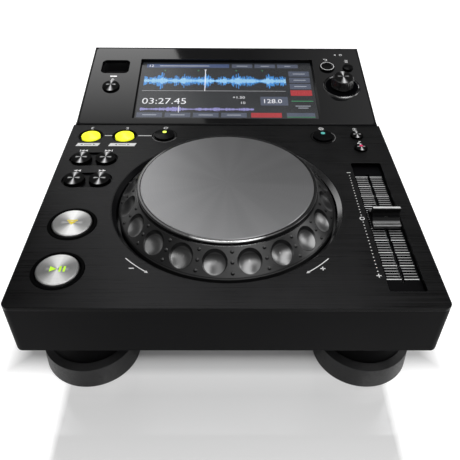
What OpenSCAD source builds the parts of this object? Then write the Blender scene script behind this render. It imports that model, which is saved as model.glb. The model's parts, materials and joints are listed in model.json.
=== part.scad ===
// Tabletop media player for a disc jockey: a flat deck with a jog wheel, a pitch fader and push buttons,
// a tilted display behind it and four round feet below. Millimetres, +Z up, the front faces -Y.
// Places on the deck are [x, distance behind the front edge]; places on the display panel are
// [x, distance up the slope from the panel's front edge]. Both are worked out from distances to the edges.

/* [Body] */
// Width of the deck
deck_w = 231.5; // [228:0.5:240]
// Depth of the flat deck from its front edge to the display
deck_d = 183.4; // [180:0.2:190]
// Height of the deck's top face above the floor
deck_z = 78; // [72:0.5:86]
// Height of the front face
front_h = 34.4; // [32:0.2:40]
// Wall of the case
wall_t = 3; // [2.4:0.1:3.6]
// Thickness of the deck plate
deck_t = 2; // [1.6:0.1:2.4]
// Thickness of the bottom plate
base_t = 1.5; // [1.2:0.1:2.4]
// Radius of the case's upright corners
corner_r = 4.2; // [3.2:0.1:6]
// Radius of the lower long edges at the sides
edge_r = 2.5; // [1.5:0.1:3]
// Depth of the cross rib under the deck's rear edge
rib_h = 8; // [5:0.5:10]

/* [Display] */
// Distance of the display housing's sides from the deck's sides
panel_side = 1.6; // [0.5:0.1:3]
// Slope length of the display face
panel_len = 102.4; // [100:0.2:108]
// Tilt of the display face
panel_tilt = 10.3; // [8:0.1:13]
// Height of the display face's front edge above the deck
panel_step = 0.4; // [0.2:0.1:1]
// Thickness of the display panel
panel_t = 3; // [2.4:0.1:3.6]
// Width of the thin lip round the display panel
lip_t = 1.2; // [0.8:0.1:2]
// Width of the ledge that carries the display panel
ledge_w = 2.5; // [1.5:0.1:3]
// Thickness of that ledge
ledge_t = 2; // [1.5:0.1:2.5]
// Wall of the display housing
housing_t = 3; // [2.4:0.1:3.6]
// Width of the bevel along the rear top edge
rear_bevel = 4; // [3:0.1:6]
// Distance of the screen window from the housing's sides
screen_side = 41.3; // [40.8:0.1:45]
// Slope length of the screen window
screen_len = 77.9; // [72:0.1:79]
// Front edge of the screen window up the slope
screen_s = 7.5; // [6.5:0.1:10]
// Overlap of the glass under the window's edge
glass_margin = 3; // [2:0.1:3.5]
// Thickness of the screen glass
glass_t = 1; // [0.7:0.1:1.5]
// Thickness of the display module
lcd_t = 5; // [3:0.1:6]

/* [USB well] */
// Centre of the well from the housing's left side and up the slope
usb_from = [20.55, 74.2]; // [10:0.05:80]
// Width of the well
usb_w = 23.2; // [20:0.1:24]
// Slope length of the well
usb_len = 18.6; // [17:0.1:20]
// Corner radius of the well
usb_r = 4; // [2:0.1:5]
// Depth of the well
usb_depth = 11; // [9:0.1:13]

/* [Jog wheel] */
// Least distance of the round recess from the deck's front edge
jog_front = 17.7; // [16:0.1:20]
// Least distance of the recess from the deck's rear edge
jog_rear = 21.1; // [20:0.1:24]
// Least distance of the recess from the deck's sides
jog_side = 43.45; // [42:0.05:46]
// Depth of the recess
jog_depth = 8; // [7:0.1:9]
// Width and depth of the bevel round the recess
jog_bevel = 2.8; // [2:0.1:3.4]
// Gap between the wheel and the wall of the recess under its bevel
jog_gap = 1.6; // [1.2:0.1:2.4]
// Depth of the wheel's edge below the deck
jog_skirt = 5; // [4.8:0.1:5.6]
// Height of the top plate above the deck
plate_h = 14.4; // [13:0.1:16]
// Thickness of the top plate
plate_t = 1.2; // [0.8:0.1:1.6]
// Width of the rim round the top plate
rim_w = 2.2; // [1.6:0.1:3]
// Rounding of the rim
rim_round = 0.9; // [0.5:0.1:1]
// Height of the rim above the head of the finger slope
rim_h = 3; // [2:0.1:4]
// Height by which the top plate stands above its rim
plate_proud = 0.2; // [0:0.1:0.5]
// Width of the finger slope seen from above
slope_w = 11.3; // [10.6:0.1:12.4]
// Distance of the finger slope's foot from the wheel's edge
slope_edge = 0.6; // [0.5:0.1:1.2]
// Height of the finger slope's foot above the deck, below zero where it lies deeper
slope_foot_h = -1.2; // [-1.6:0.1:0]
// Material left behind the finger slope
slope_wall = 5.2; // [4.6:0.1:6]
// Distance between finger dimples round the slope
dimple_pitch = 19.6; // [19:0.1:24]
// Diameter of a finger dimple at the slope's surface
dimple_d = 14.7; // [12:0.1:15]
// Radius of the ball that forms a dimple
dimple_ball_r = 9.5; // [9:0.1:14]
// Angle of the first dimple at rest
dimple_phase = 11.6; // [0:0.1:18]
// Diameter of the grip bumps between dimples
bump_d = 2.2; // [1.6:0.1:2.4]
// Distance between the bumps of a row
bump_pitch = 5.9; // [5:0.1:6]
// Diameter of the wheel's hub
hub_d = 22; // [18:0.5:26]
// Thickness of the web under the top plate
web_t = 3; // [2:0.1:4]
// Diameter of the shaft
shaft_d = 8; // [6:0.1:9]
// Wall of the bearing bush
bush_t = 2; // [1.5:0.1:2.5]
// Length of the bearing boss below the recess
boss_len = 9; // [7:0.1:9.5]
// Diameter of the encoder disc
disc_d = 32; // [30:0.5:36]
// Number of slots in the encoder disc
disc_slots = 24; // [16:1:30]

/* [Fader] */
// Distance of the fader's axis from the deck's right side
fader_side = 20.15; // [19:0.05:22]
// Distance of the fader's recess from the deck's front edge
fader_front = 11.85; // [10:0.05:15]
// Distance of the fader's recess from the deck's rear edge
fader_rear = 50.45; // [49:0.05:55]
// Width of the fader's recess
fader_w = 20.5; // [19.5:0.1:21]
// Depth of the fader's recess
fader_depth = 3.3; // [2.8:0.1:4]
// Width of the slot that the stem runs in
slot_w = 2.4; // [2:0.1:3]
// Gap between the cap at its stop and the end of the recess
fader_end = 4.35; // [3.5:0.05:10]
// Length of the stem along the slot
stem_len = 5; // [4:0.1:7]
// Width of the fader cap
cap_w = 16.6; // [14:0.1:17.5]
// Length of the fader cap
cap_len = 16.4; // [15:0.1:18]
// Height of the fader cap
cap_h = 9.9; // [9:0.1:12]
// Gap between the cap and the floor of its recess
cap_lift = 2; // [1.2:0.1:2.5]
// Width of the ridge along the top of the cap
ridge_w = 3.2; // [2.6:0.1:4.4]
// Height of the cap's foot
cap_foot_h = 2.5; // [1.6:0.1:3]
// Width of the flat edge of the foot
cap_edge = 1.1; // [0.8:0.1:2]

/* [Transport buttons] */
// Centre of the cue button from the deck's left and front edges
cue_from = [23.15, 66.7]; // [15:0.05:80]
// Centre of the play button from the deck's left and front edges
play_from = [23.45, 27.2]; // [15:0.05:80]
// Outer diameter of the black ring
ring_d = 29.6; // [28:0.1:31]
// Diameter of the metal disc
transport_d = 23.6; // [21:0.1:24.5]
// Height of the disc above the deck
transport_h = 1.2; // [1:0.1:2.5]
// Height of the black ring above the deck
ring_h = 0.4; // [0.2:0.1:0.8]

/* [Loop and search buttons] */
// Centre of the loop-in button from the deck's left and rear edges
loop_in_from = [15.65, 15.8]; // [10:0.05:80]
// Centre of the loop-out button from the deck's left and rear edges
loop_out_from = [40.35, 15.6]; // [10:0.05:80]
// Diameter of the hole round a loop button
loop_hole_d = 16.7; // [16.2:0.1:18]
// Diameter of a loop button
loop_d = 13.5; // [12:0.1:14]
// Height of a loop button's dome
loop_dome = 1.8; // [1:0.1:2.5]
// Centre of the reloop button from the deck's left and rear edges
reloop_from = [69.75, 15.2]; // [10:0.05:80]
// Centre of the vinyl-mode button from the deck's right and rear edges
vinyl_from = [44.75, 16.1]; // [10:0.05:80]
// Diameter of the reloop and vinyl-mode buttons
mode_d = 14.4; // [12:0.1:15]
// Centre of the track-search pair from the deck's left and rear edges
track_from = [23.25, 46.4]; // [20:0.05:80]
// Centre of the search pair from the deck's left and rear edges
search_from = [23.25, 71.3]; // [20:0.05:80]
// Distance between the two buttons of a pair
pair_pitch = 16.9; // [16.4:0.1:17.5]
// Diameter of a search button
search_d = 13.8; // [12.5:0.1:14.4]
// Width of the oblong recess round a pair
search_cup_w = 16.5; // [16.2:0.1:17.5]
// Depth of the floor of a button cup
cup_depth = 1.2; // [0.8:0.1:1.4]

/* [Tempo and menu buttons] */
// Centre of the tempo-range button from the deck's right and rear edges
range_from = [19.65, 14.7]; // [10:0.05:80]
// Centre of the master-tempo button from the deck's right and rear edges
master_from = [19.65, 31.8]; // [10:0.05:80]
// Diameter of the tempo buttons
tempo_d = 9; // [7.5:0.1:10]
// Place of the USB stop button from the housing's left side and up the slope
stop_from = [20.25, 46.4]; // [10:0.05:80]
// Diameter of the USB stop button
stop_d = 13.4; // [11:0.1:14]
// Place of the back button from the housing's right side and up the slope
back_from = [29.55, 74]; // [10:0.05:80]
// Diameter of the back button
back_d = 12; // [10:0.1:12.4]
// Place of the tag button from the housing's right side and up the slope
tag_from = [12.15, 73.3]; // [10:0.05:80]
// Diameter of the tag button
tag_d = 8.2; // [6.5:0.1:9]
// Height of a plain button above its plate
button_h = 1.4; // [1:0.1:2]
// Crown of a plain button
button_crown = 0.5; // [0.3:0.1:0.9]
// Travel of a plain button
button_travel = 0.6; // [0.4:0.1:0.8]
// Travel of a transport button
transport_travel = 0.8; // [0.5:0.1:0.9]

/* [Selector] */
// Place of the rotary selector from the housing's right side and up the slope
selector_from = [20.5, 48]; // [15:0.05:80]
// Diameter of the ring under the knob
selector_ring_d = 30.6; // [27:0.1:32]
// Diameter of the knob at its foot
knob_d = 18.8; // [17:0.1:20]
// Diameter of the knob at its top
knob_head_d = 16.2; // [15:0.1:17]
// Height of the knob's top above the panel
knob_top = 9.2; // [8.6:0.1:12]
// Number of grip grooves in the knob
knob_grooves = 24; // [16:1:30]
// Diameter of the selector's shaft
selector_shaft_d = 6; // [5:0.1:6.4]
// Travel of the selector when pressed
selector_travel = 0.6; // [0.4:0.1:0.8]

/* [Feet] */
// Distance of a foot's centre from the deck's sides
foot_side = 30.85; // [30:0.05:36]
// Distance of a foot's centre from the front and rear faces
foot_inset = 34.8; // [33:0.1:40]
// Radius of a foot at the floor
foot_r = 29.5; // [27:0.1:30]
// Height of a foot
foot_h = 17.9; // [15:0.1:20]
// Radius of the neck above a foot
neck_r = 24.4; // [20:0.1:25]
// Draft of a foot's side
foot_draft = 0.7; // [0.3:0.1:1.2]
// Width of the bevel round a foot's top
foot_bevel = 4; // [1:0.1:4]
// Height of that bevel
foot_bevel_h = 2; // [1:0.1:3]
// Wall of the hollow neck
neck_t = 2.5; // [2:0.1:4]

/* [Rear sockets] */
// Length of the audio barrels behind the rear face
rca_out = 9.5; // [8:0.1:11]
// Diameter of an audio barrel
rca_d = 8.3; // [8:0.1:8.5]
// Distances of the two audio barrels from the deck's right side
rca_from = [37.75, 55.75]; // [30:0.05:80]
// Height of the barrels above the main board
rca_z = 9; // [8:0.1:11]
// Place of the network socket right of the middle of the rear
lan_x = 22; // [15:0.5:30]
// Place of the square USB socket right of the middle of the rear
usb_b_x = -12; // [-25:0.5:-5]
// Distance of the power inlet from the deck's left side
dc_from = 51.75; // [45:0.05:60]
// Distance of the power button from the deck's left side
power_from = 23.75; // [21:0.05:30]
// Diameter of the power button
power_d = 9; // [7:0.1:10]
// Height of the power button behind the rear face
power_h = 2.5; // [2:0.1:4]
// Travel of the power button
power_travel = 1.2; // [0.8:0.1:1.5]

/* [Boards and screws] */
// Thickness of a circuit board
board_t = 1.6; // [1:0.1:2]
// Height of the main board above the bottom plate
standoff_h = 4; // [4:0.1:4.5]
// Distance of the key boards below the deck plate
key_drop = 12; // [11:0.1:13]
// Side of a key switch
switch_w = 6; // [4.5:0.1:6.5]
// Height of a key switch
switch_h = 3.5; // [2.5:0.1:4]
// Radius of the screw columns in the case
column_r = 4; // [3.4:0.1:4.5]
// Height of the screw columns
column_h = 15; // [12:0.5:16]
// Diameter of the case screws
screw_d = 3; // [2.5:0.1:3.5]
// Length of the case screws
screw_len = 11; // [8:0.5:12]
// Diameter of the foot screws
foot_screw_d = 4; // [3.5:0.1:5]

/* [Clearances] */
// Gap between pieces that are seated on each other
fit_gap = 0.15; // [0.1:0.01:0.25]
// Gap round a piece that moves
run_gap = 0.35; // [0.3:0.01:0.45]
// Gap along the seam between deck and display
seam_gap = 0.3; // [0.2:0.05:0.6]
// Radial clearance of a shaft in its bush
shaft_gap = 0.05; // [0.02:0.01:0.1]
// Gap under a piece that turns or is pressed
rest_gap = 0.2; // [0.15:0.01:0.3]
// Radial gap of a hub that is pressed on its shaft
press_gap = 0.015; // [0.01:0.005:0.03]
// Gap round the stem inside the fader cap
stem_gap = 0.05; // [0.03:0.01:0.1]
// Distance of a circuit board from the walls round it
board_gap = 1; // [0.5:0.1:1.5]

/* [Hidden] */
$fn = 72;
// Overshoot of a cut past the face that it opens
cut = 1;
// Depth by which fused solids share volume
weld = 0.5;

// Places counted from two edges of the deck or of the display panel
function from_left_front(p) = [-deck_w / 2 + p.x, p.y];
function from_left_rear(p) = [-deck_w / 2 + p.x, deck_d - p.y];
function from_right_rear(p) = [deck_w / 2 - p.x, deck_d - p.y];
function from_panel_left(p) = [-panel_w / 2 + p.x, p.y];
function from_panel_right(p) = [panel_w / 2 - p.x, p.y];

inner_corner_r = 2.7;
body_bottom = deck_z - front_h;
deck_under = deck_z - deck_t;
base_top = body_bottom + base_t;
board_top = base_top + standoff_h + board_t;
panel_w = deck_w - 2 * panel_side;
screen_w = panel_w - 2 * screen_side;
panel_run = panel_len * cos(panel_tilt);
panel_rise = panel_len * sin(panel_tilt);
panel_y = deck_d + seam_gap;
panel_z = deck_z + panel_step;
case_d = panel_y + panel_run + rear_bevel;
// Apron of the display housing behind the cross rib
apron_w = deck_w - 2 * (wall_t + fit_gap);
apron_h = panel_t + ledge_t;
total_d = case_d + rca_out;

// Jog wheel heights count from the deck's top face, radii from the wheel's axis. The recess fills the room
// between the control columns and the deck's edges.
jog_y = (jog_front + deck_d - jog_rear) / 2;
jog_recess_r = min(deck_w / 2 - jog_side, (deck_d - jog_front - jog_rear) / 2);
jog_wall_r = jog_recess_r - jog_bevel;
jog_r = jog_wall_r - jog_gap;
cup_wall = 1.5;
dish_wall = 2;
lip_drop = 0.1;
lip_edge = 0.2;
dish_flange = 4.5;
bush_flange_t = 1.5;
bush_flange_w = 2;
bush_r = shaft_d / 2 + shaft_gap + bush_t;
boss_t = 2.5;
boss_r = bush_r + fit_gap + boss_t;
dish_bottom = jog_depth + dish_wall;
bush_bottom = dish_bottom + boss_len;
rim_step = 0.6;
rim_top = plate_h - plate_proud;
slope_foot_r = jog_r - slope_edge;
slope_head_r = slope_foot_r - slope_w;
rim_r = slope_head_r - rim_step;
plate_r = rim_r - rim_w;
slope_head_h = rim_top - rim_h;
slope_drop = slope_head_h - slope_foot_h;
slope_size = norm([slope_w, slope_drop]);
slope_angle = atan(slope_drop / slope_w);
slope_normal = [slope_drop, slope_w] / slope_size;
slope_mid_r = (slope_foot_r + slope_head_r) / 2;
slope_mid_h = (slope_foot_h + slope_head_h) / 2;
dimple_n = round(2 * PI * slope_mid_r / dimple_pitch);
dimple_lift = sqrt(pow(dimple_ball_r, 2) - pow(dimple_d / 2, 2));
pocket_h = plate_h - plate_t;
web_under = pocket_h - web_t;
hub_bottom = -jog_depth + bush_flange_t + rest_gap;
disc_t = 1;
disc_hub_h = 3.6;
disc_bottom = -bush_bottom - rest_gap - disc_hub_h;
shaft_end = 0.8;
shaft_bevel = 0.5;
shaft_bottom = disc_bottom - shaft_end;
shaft_top = web_under;
disc_r = disc_d / 2;
disc_hub_t = 3;
disc_slot = [3, 1.2];
disc_edge = 1;
skirt_t = 2.6;
skirt_bevel = 1;
web_slant = 2;
plate_bevel = 0.4;
gate_w = 6;
gate_d = 9;
gate_reach = 5;
gate_gap = 1.2;
gate_roof = 2;
gate_back = 3;

// Fader heights count from the deck's top face
fader_len = deck_d - fader_front - fader_rear;
fader_at = [deck_w / 2 - fader_side, fader_front + fader_len / 2];
fader_travel = fader_len - cap_len - 2 * fader_end;
tray_floor_t = 1.5;
tray_flange = 2.5;
tray_flange_t = 1;
tray_r = 1.5;
fader_body_w = 13;
fader_body_h = 9;
fader_shell_t = 0.8;
fader_body_end = 12;
fader_body_len = fader_travel + stem_len + 2 * fader_body_end;
fader_body_top = -fader_depth - tray_floor_t;
carriage_w = 9;
carriage_h = 4;
stem_t = slot_w - 2 * run_gap;
cap_bottom = -fader_depth + cap_lift;
cap_bevel = 0.4;
stem_top = cap_bottom + cap_h / 2;
slot_len = fader_travel + stem_len + 2 * run_gap + 2 * rest_gap;

// Places of the buttons
cue_at = from_left_front(cue_from);
play_at = from_left_front(play_from);
loop_in_at = from_left_rear(loop_in_from);
loop_out_at = from_left_rear(loop_out_from);
reloop_at = from_left_rear(reloop_from);
track_at = from_left_rear(track_from);
search_at = from_left_rear(search_from);
vinyl_at = from_right_rear(vinyl_from);
range_at = from_right_rear(range_from);
master_at = from_right_rear(master_from);
usb_at = from_panel_left(usb_from);
stop_at = from_panel_left(stop_from);
back_at = from_panel_right(back_from);
tag_at = from_panel_right(tag_from);
selector_at = from_panel_right(selector_from);

// Buttons: a flange under the plate holds each one in, and a plunger reaches to its switch
flange_w = 1.2;
flange_t = 1.2;
plunger_r = 2;
key_top = deck_under - key_drop;
panel_board_z = -(usb_depth + cup_wall);
ring_seat = deck_t + cup_wall;
cup_seat = deck_t + cup_wall;
pair_len = pair_pitch + search_cup_w;
cup_flange = 1.5;
ring_lap = 1;
transport_bevel = 0.4;
loop_edge = 0.2;
key_post_r = 2.5;
key_margin = 9;
key_post_inset = 4.2;
switch_stem_r = 1.7;
switch_stem_h = 0.8;
// Heights of a switch's top below the deck's and the display panel's top faces
deck_switch_top = -deck_t - key_drop + switch_h;
panel_switch_top = panel_board_z + switch_h;
deck_key_places = [cue_at, play_at, loop_in_at, loop_out_at, reloop_at, vinyl_at, range_at, master_at,
    track_at - [pair_pitch / 2, 0], track_at + [pair_pitch / 2, 0],
    search_at - [pair_pitch / 2, 0], search_at + [pair_pitch / 2, 0]];
// Places of the posts that carry the key boards, midway between the buttons
key_post_x = deck_w / 2 - wall_t - key_post_inset;
key_post_places = [[-key_post_x, (cue_at.y + play_at.y) / 2], [-key_post_x, (track_at.y + loop_in_at.y) / 2],
    [(loop_out_at.x + reloop_at.x) / 2, loop_out_at.y], [(vinyl_at.x + range_at.x) / 2, vinyl_at.y],
    [key_post_x, (range_at.y + master_at.y) / 2]];
panel_post_r = 2.2;
panel_post_x = screen_w / 2 + glass_margin + panel_post_r + board_gap;
panel_post_s = [14, 56.5];
panel_post_places = [for (sx = [-1, 1]) for (s = panel_post_s) [sx * panel_post_x, s]];
panel_board_ends = [9, 11];

// Selector heights count from the display panel's top face
bushing_t = 1.2;
bushing_r = selector_shaft_d / 2 + bushing_t;
encoder_w = 12;
encoder_wall = 1.5;
encoder_roof = 1;
encoder_gap = 2;
encoder_top = -panel_t - encoder_gap;
encoder_floor_t = 0.8;
encoder_bore_r = encoder_w / 2 - encoder_wall;
plunger_h = 2;
plunger_bottom = panel_board_z + encoder_floor_t + selector_travel + rest_gap;
plunger_top = plunger_bottom + plunger_h;
selector_shaft_bottom = plunger_top + rest_gap;
knob_roof = 2.5;
selector_shaft_top = knob_top - knob_roof;
knob_gap = 0.6;
knob_bevel = 0.5;
groove_r = 0.75;
groove_stop = 1;
selector_ring_h = 0.8;
selector_disc_h = 0.4;
selector_rim = [0.5, 0.8, 0.7];
knob_bottom = selector_ring_h + knob_gap + selector_travel;
knob_lean = atan((knob_d - knob_head_d) / 2 / (knob_top - knob_bevel - knob_bottom));

// Feet and fasteners
foot_x = deck_w / 2 - foot_side;
foot_places = [[-foot_x, foot_inset], [foot_x, foot_inset],
    [-foot_x, case_d - foot_inset], [foot_x, case_d - foot_inset]];
foot_bore_r = foot_screw_d / 2 + fit_gap;
foot_head_r = foot_screw_d;
foot_head_t = 2.8;
foot_grip = 7.2;
foot_head_z = foot_h - foot_grip;
foot_head_gap = 0.5;
foot_edge = 1;
foot_hub_t = 4;
foot_nut_r = foot_screw_d;
foot_nut_h = 3.2;
column_x = deck_w / 2 - wall_t - column_r + weld;
column_roof = 2;
column_inset = 14;
column_places = [for (sx = [-1, 1]) for (y = [column_inset, case_d / 2, case_d - column_inset])
    [sx * column_x, y]];
screw_head_r = screw_d;
standoff_r = 3;
board_w = 2 * (column_x - column_r - board_gap);
board_front = 6.8;
board_y0 = foot_inset + neck_r + board_front;
board_d = case_d - wall_t - board_gap - board_y0;
standoff_inset = 12;
standoff_side = 42.3;
standoff_x = board_w / 2 - standoff_side;
standoff_places = [for (sx = [-1, 1]) for (i = [0 : 2])
    [sx * standoff_x, board_y0 + standoff_inset + i * (board_d - 5 * standoff_inset) / 2]];

// Rear sockets: width, depth and height of each body on the main board
rca_x = [for (side = rca_from) deck_w / 2 - side];
dc_x = -deck_w / 2 + dc_from;
power_x = -deck_w / 2 + power_from;
lan_size = [16, 21, 13.5];
lan_mouth = [11.8, 13, 8.2];
usb_b_size = [12, 16, 11];
usb_b_mouth = [8.5, 9, 7.8];
dc_size = [9.6, 14, 11];
dc_bore_r = 3.15;
dc_pin_r = 1;
dc_bore_depth = 9.5;
mouth_inset = 1;
lan_sill = 2;
lan_latch = [6, 1.8];
usb_b_tongue = [5.6, 3.2];
rca_block = [12, 12, 16];
rca_pin_r = 1.6;
rca_collar_r = 5.6;
rca_collar_t = 1.4;
power_z = board_top + 7;
power_bevel = 0.4;
power_plunger = 3;
power_switch = [8, 10];
power_switch_rise = 4;
power_switch_y = -wall_t - rest_gap - flange_t - power_plunger - power_travel - rest_gap;
usb_a_size = [13.1, 5.7, 14];
usb_a_shell = 0.4;
usb_a_depth = 10;
usb_a_tongue = 1.8;
usb_a_tongue_gap = 0.7;

CASE_BLACK = "#1d1d1f";
DECK_GREY = "#2b2b2d";
GLOSS_BLACK = "#0c0c0e";
SATIN_BLACK = "#161618";
BOARD_GREEN = "#1f4a33";
STEEL = "#a9abae";
NICKEL = "#c3c5c8";

// Moves a piece from front-edge coordinates to the part's own frame, centred over the floor
module placed() {
    translate([0, -total_d / 2, 0]) children();
}

// Lays children on the deck: local zero is the deck's top face at the given place
module on_deck(at = [0, 0]) {
    translate([at.x, at.y, deck_z]) children();
}

// Lays children on the display face: local Y runs up the slope and local Z leaves the face
module on_panel(at = [0, 0]) {
    translate([0, panel_y, panel_z]) rotate([panel_tilt, 0, 0]) translate([at.x, at.y, 0]) children();
}

// Lays children on the rear face: local Z points backwards, local X to the right seen from the front
module on_rear(x, z) {
    translate([x, case_d, z]) rotate([-90, 0, 0]) children();
}

// Rectangle with round corners, centred in X, from zero to d in Y
module rounded(w, d, r) {
    translate([-w / 2, r]) square([w, d - 2 * r]);
    translate([-w / 2 + r, 0]) square([w - 2 * r, d]);
    for (x = [-1, 1], y = [r, d - r])
        translate([x * (w / 2 - r), y]) circle(r);
}

// The same rectangle centred both ways
module rounded_mid(w, d, r) {
    translate([0, -d / 2]) rounded(w, d, r);
}

// Oblong with half-round ends, centred, length along X
module oblong(len, w) {
    square([len - w, w], center = true);
    for (s = [-1, 1])
        translate([s * (len - w) / 2, 0]) circle(d = w);
}

// Disc with a bevelled upper edge, from z0 to z1
module bevelled_disc(r, z0, z1, bevel) {
    rotate_extrude()
        polygon([[0, z0], [r, z0], [r, z1 - bevel], [r - bevel, z1], [0, z1]]);
}

// Cylinder between two heights
module post(r, z0, z1) {
    translate([0, 0, z0]) cylinder(r = r, h = z1 - z0);
}

// Tube between two heights
module tube(r_out, r_in, z0, z1) {
    difference() {
        post(r_out, z0, z1);
        post(r_in, z0 - cut, z1 + cut);
    }
}

// Disc with a crowned top: the crown adds its own height to h
module crowned_disc(d, z0, h, crown) {
    ball_r = (pow(d / 2, 2) + pow(crown, 2)) / (2 * crown);
    intersection() {
        post(d / 2, z0, h + crown + cut);
        translate([0, 0, h + crown - ball_r]) sphere(r = ball_r, $fn = 96);
    }
}

// Flange and plunger below a button: seat is the depth of the face that the flange stops on
module button_tail(d, seat, switch_top, travel) {
    flange_top = -seat - rest_gap;
    post(d / 2 + flange_w, flange_top - flange_t, flange_top);
    post(plunger_r, switch_top + travel + rest_gap, flange_top - flange_t + weld / 2);
}

// Button with a crowned cap
module crowned_button(d, h, crown, seat, switch_top, travel) {
    crowned_disc(d, -seat - rest_gap - weld / 2, h, crown);
    button_tail(d, seat, switch_top, travel);
}

// Button with a flat cap and a bevelled edge
module flat_button(d, h, bevel, seat, switch_top, travel) {
    bevelled_disc(d / 2, -seat - rest_gap - weld / 2, h, bevel);
    button_tail(d, seat, switch_top, travel);
}

module deck_button(at, d) {
    on_deck(at)
        crowned_button(d, button_h, button_crown, deck_t, deck_switch_top, button_travel);
}

module search_button(pair_at, side) {
    on_deck(pair_at + [side * pair_pitch / 2, 0])
        crowned_button(search_d, button_h, button_crown, cup_seat, deck_switch_top, button_travel);
}

module loop_button(at) {
    on_deck(at)
        crowned_button(loop_d, loop_edge, loop_dome, cup_seat, deck_switch_top, button_travel);
}

module transport_button(at) {
    on_deck(at)
        flat_button(transport_d, transport_h, transport_bevel, ring_seat, deck_switch_top, transport_travel);
}

module panel_button(at, d) {
    on_panel(at)
        crowned_button(d, button_h, button_crown, panel_t, panel_switch_top, button_travel);
}

// Case and covers
module case_block() {
    intersection() {
        translate([0, 0, body_bottom])
            linear_extrude(front_h - deck_t) rounded(deck_w, case_d, corner_r);
        translate([0, case_d + cut, body_bottom])
            rotate([90, 0, 0])
                linear_extrude(case_d + 2 * cut) rounded(deck_w, front_h + 2 * edge_r, edge_r);
    }
}

module case_hollow() {
    translate([0, wall_t, body_bottom - cut])
        linear_extrude(front_h + cut)
            rounded(deck_w - 2 * wall_t, case_d - 2 * wall_t, inner_corner_r);
}

// Openings in the rear wall, each a little larger than the socket that it takes
module rear_cutouts() {
    for (s = [[lan_x, lan_size], [usb_b_x, usb_b_size], [dc_x, dc_size]])
        translate([s[0] - s[1].x / 2 - fit_gap, case_d - wall_t - cut, board_top - cut])
            cube([s[1].x + 2 * fit_gap, wall_t + 2 * cut, s[1].z + fit_gap + cut]);
    for (x = rca_x)
        on_rear(x, board_top + rca_z) post(rca_d / 2 + fit_gap, -wall_t - cut, cut);
    on_rear(power_x, power_z) post(power_d / 2 + run_gap, -wall_t - cut, cut);
}

module main_case() {
    color(CASE_BLACK) placed() difference() {
        union() {
            difference() {
                case_block();
                case_hollow();
            }
            for (p = column_places)
                translate([p.x, p.y, 0]) post(column_r, base_top, base_top + column_h);
            translate([-deck_w / 2 + wall_t - weld, deck_d - wall_t, deck_under - rib_h])
                cube([deck_w - 2 * wall_t + 2 * weld, wall_t, rib_h]);
        }
        for (p = column_places)
            translate([p.x, p.y, base_top]) post(screw_d / 2 + fit_gap, -cut, column_h - column_roof);
        rear_cutouts();
    }
}

module bottom_plate() {
    color(STEEL) placed() difference() {
        union() {
            translate([0, wall_t + fit_gap, body_bottom])
                linear_extrude(base_t)
                    rounded(deck_w - 2 * (wall_t + fit_gap), case_d - 2 * (wall_t + fit_gap), inner_corner_r);
            for (p = standoff_places)
                translate([p.x, p.y, 0]) post(standoff_r, base_top - weld, base_top + standoff_h);
            for (p = foot_places)
                translate([p.x, p.y, 0]) post(foot_nut_r, base_top - weld, base_top + foot_nut_h);
        }
        for (p = column_places)
            translate([p.x, p.y, body_bottom]) {
                post(screw_d / 2 + fit_gap, -cut, base_t + cut);
                translate([0, 0, -fit_gap])
                    cylinder(r1 = screw_head_r + fit_gap, r2 = screw_d / 2 + fit_gap, h = base_t);
            }
        for (p = foot_places)
            translate([p.x, p.y, 0]) post(foot_bore_r, body_bottom - cut, base_top + foot_nut_h + cut);
    }
}

module base_screws() {
    color(STEEL) placed() for (p = column_places)
        translate([p.x, p.y, body_bottom]) rotate_extrude()
            polygon([[0, 0], [screw_head_r, 0], [screw_d / 2, base_t], [screw_d / 2, screw_len],
                [0, screw_len]]);
}

module deck_outline() {
    intersection() {
        rounded(deck_w, deck_d + 2 * corner_r, corner_r);
        translate([-deck_w / 2, 0]) square([deck_w, deck_d]);
    }
}

module deck_holes() {
    translate([0, jog_y]) circle(jog_recess_r, $fn = 180);
    translate(fader_at) rounded_mid(fader_w, fader_len, tray_r);
    for (p = [cue_at, play_at])
        translate(p) circle(ring_d / 2 - ring_lap + fit_gap);
    for (p = [loop_in_at, loop_out_at])
        translate(p) circle(d = loop_hole_d);
    for (p = [track_at, search_at])
        translate(p) oblong(pair_len, search_cup_w);
    for (p = [reloop_at, vinyl_at])
        translate(p) circle(mode_d / 2 + run_gap);
    for (p = [range_at, master_at])
        translate(p) circle(tempo_d / 2 + run_gap);
}

module deck_panel() {
    color(DECK_GREY) placed() {
        translate([0, 0, deck_under]) linear_extrude(deck_t) difference() {
            deck_outline();
            deck_holes();
        }
        for (p = key_post_places)
            translate([p.x, p.y, 0]) post(key_post_r, key_top, deck_under + weld);
    }
}

// Side outline of the display housing, drawn as [distance from the front edge, height]
module housing_side() {
    polygon([[panel_y, deck_under], [panel_y, panel_z], [panel_y + panel_run, panel_z + panel_rise],
        [case_d, panel_z + panel_rise - rear_bevel], [case_d, deck_under]]);
}

// Side outline of the chamber inside it, open below, under the ledge that carries the panel
module chamber_side() {
    drop = (panel_t + ledge_t) / cos(panel_tilt);
    y0 = panel_y + housing_t;
    y1 = case_d - housing_t;
    polygon([[y0, deck_under - cut], [y0, panel_z + housing_t * tan(panel_tilt) - drop],
        [y1, panel_z + (y1 - panel_y) * tan(panel_tilt) - drop], [y1, deck_under - cut]]);
}

// Pulls an outline of the YZ plane along X, centred
module across(w) {
    translate([-w / 2, 0, 0]) rotate([90, 0, 90]) linear_extrude(w) children();
}

module housing_plan() {
    intersection() {
        translate([0, -2 * corner_r]) rounded(panel_w, case_d + 2 * corner_r, corner_r);
        translate([-panel_w / 2, panel_y]) square([panel_w, case_d - panel_y]);
    }
}

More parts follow.
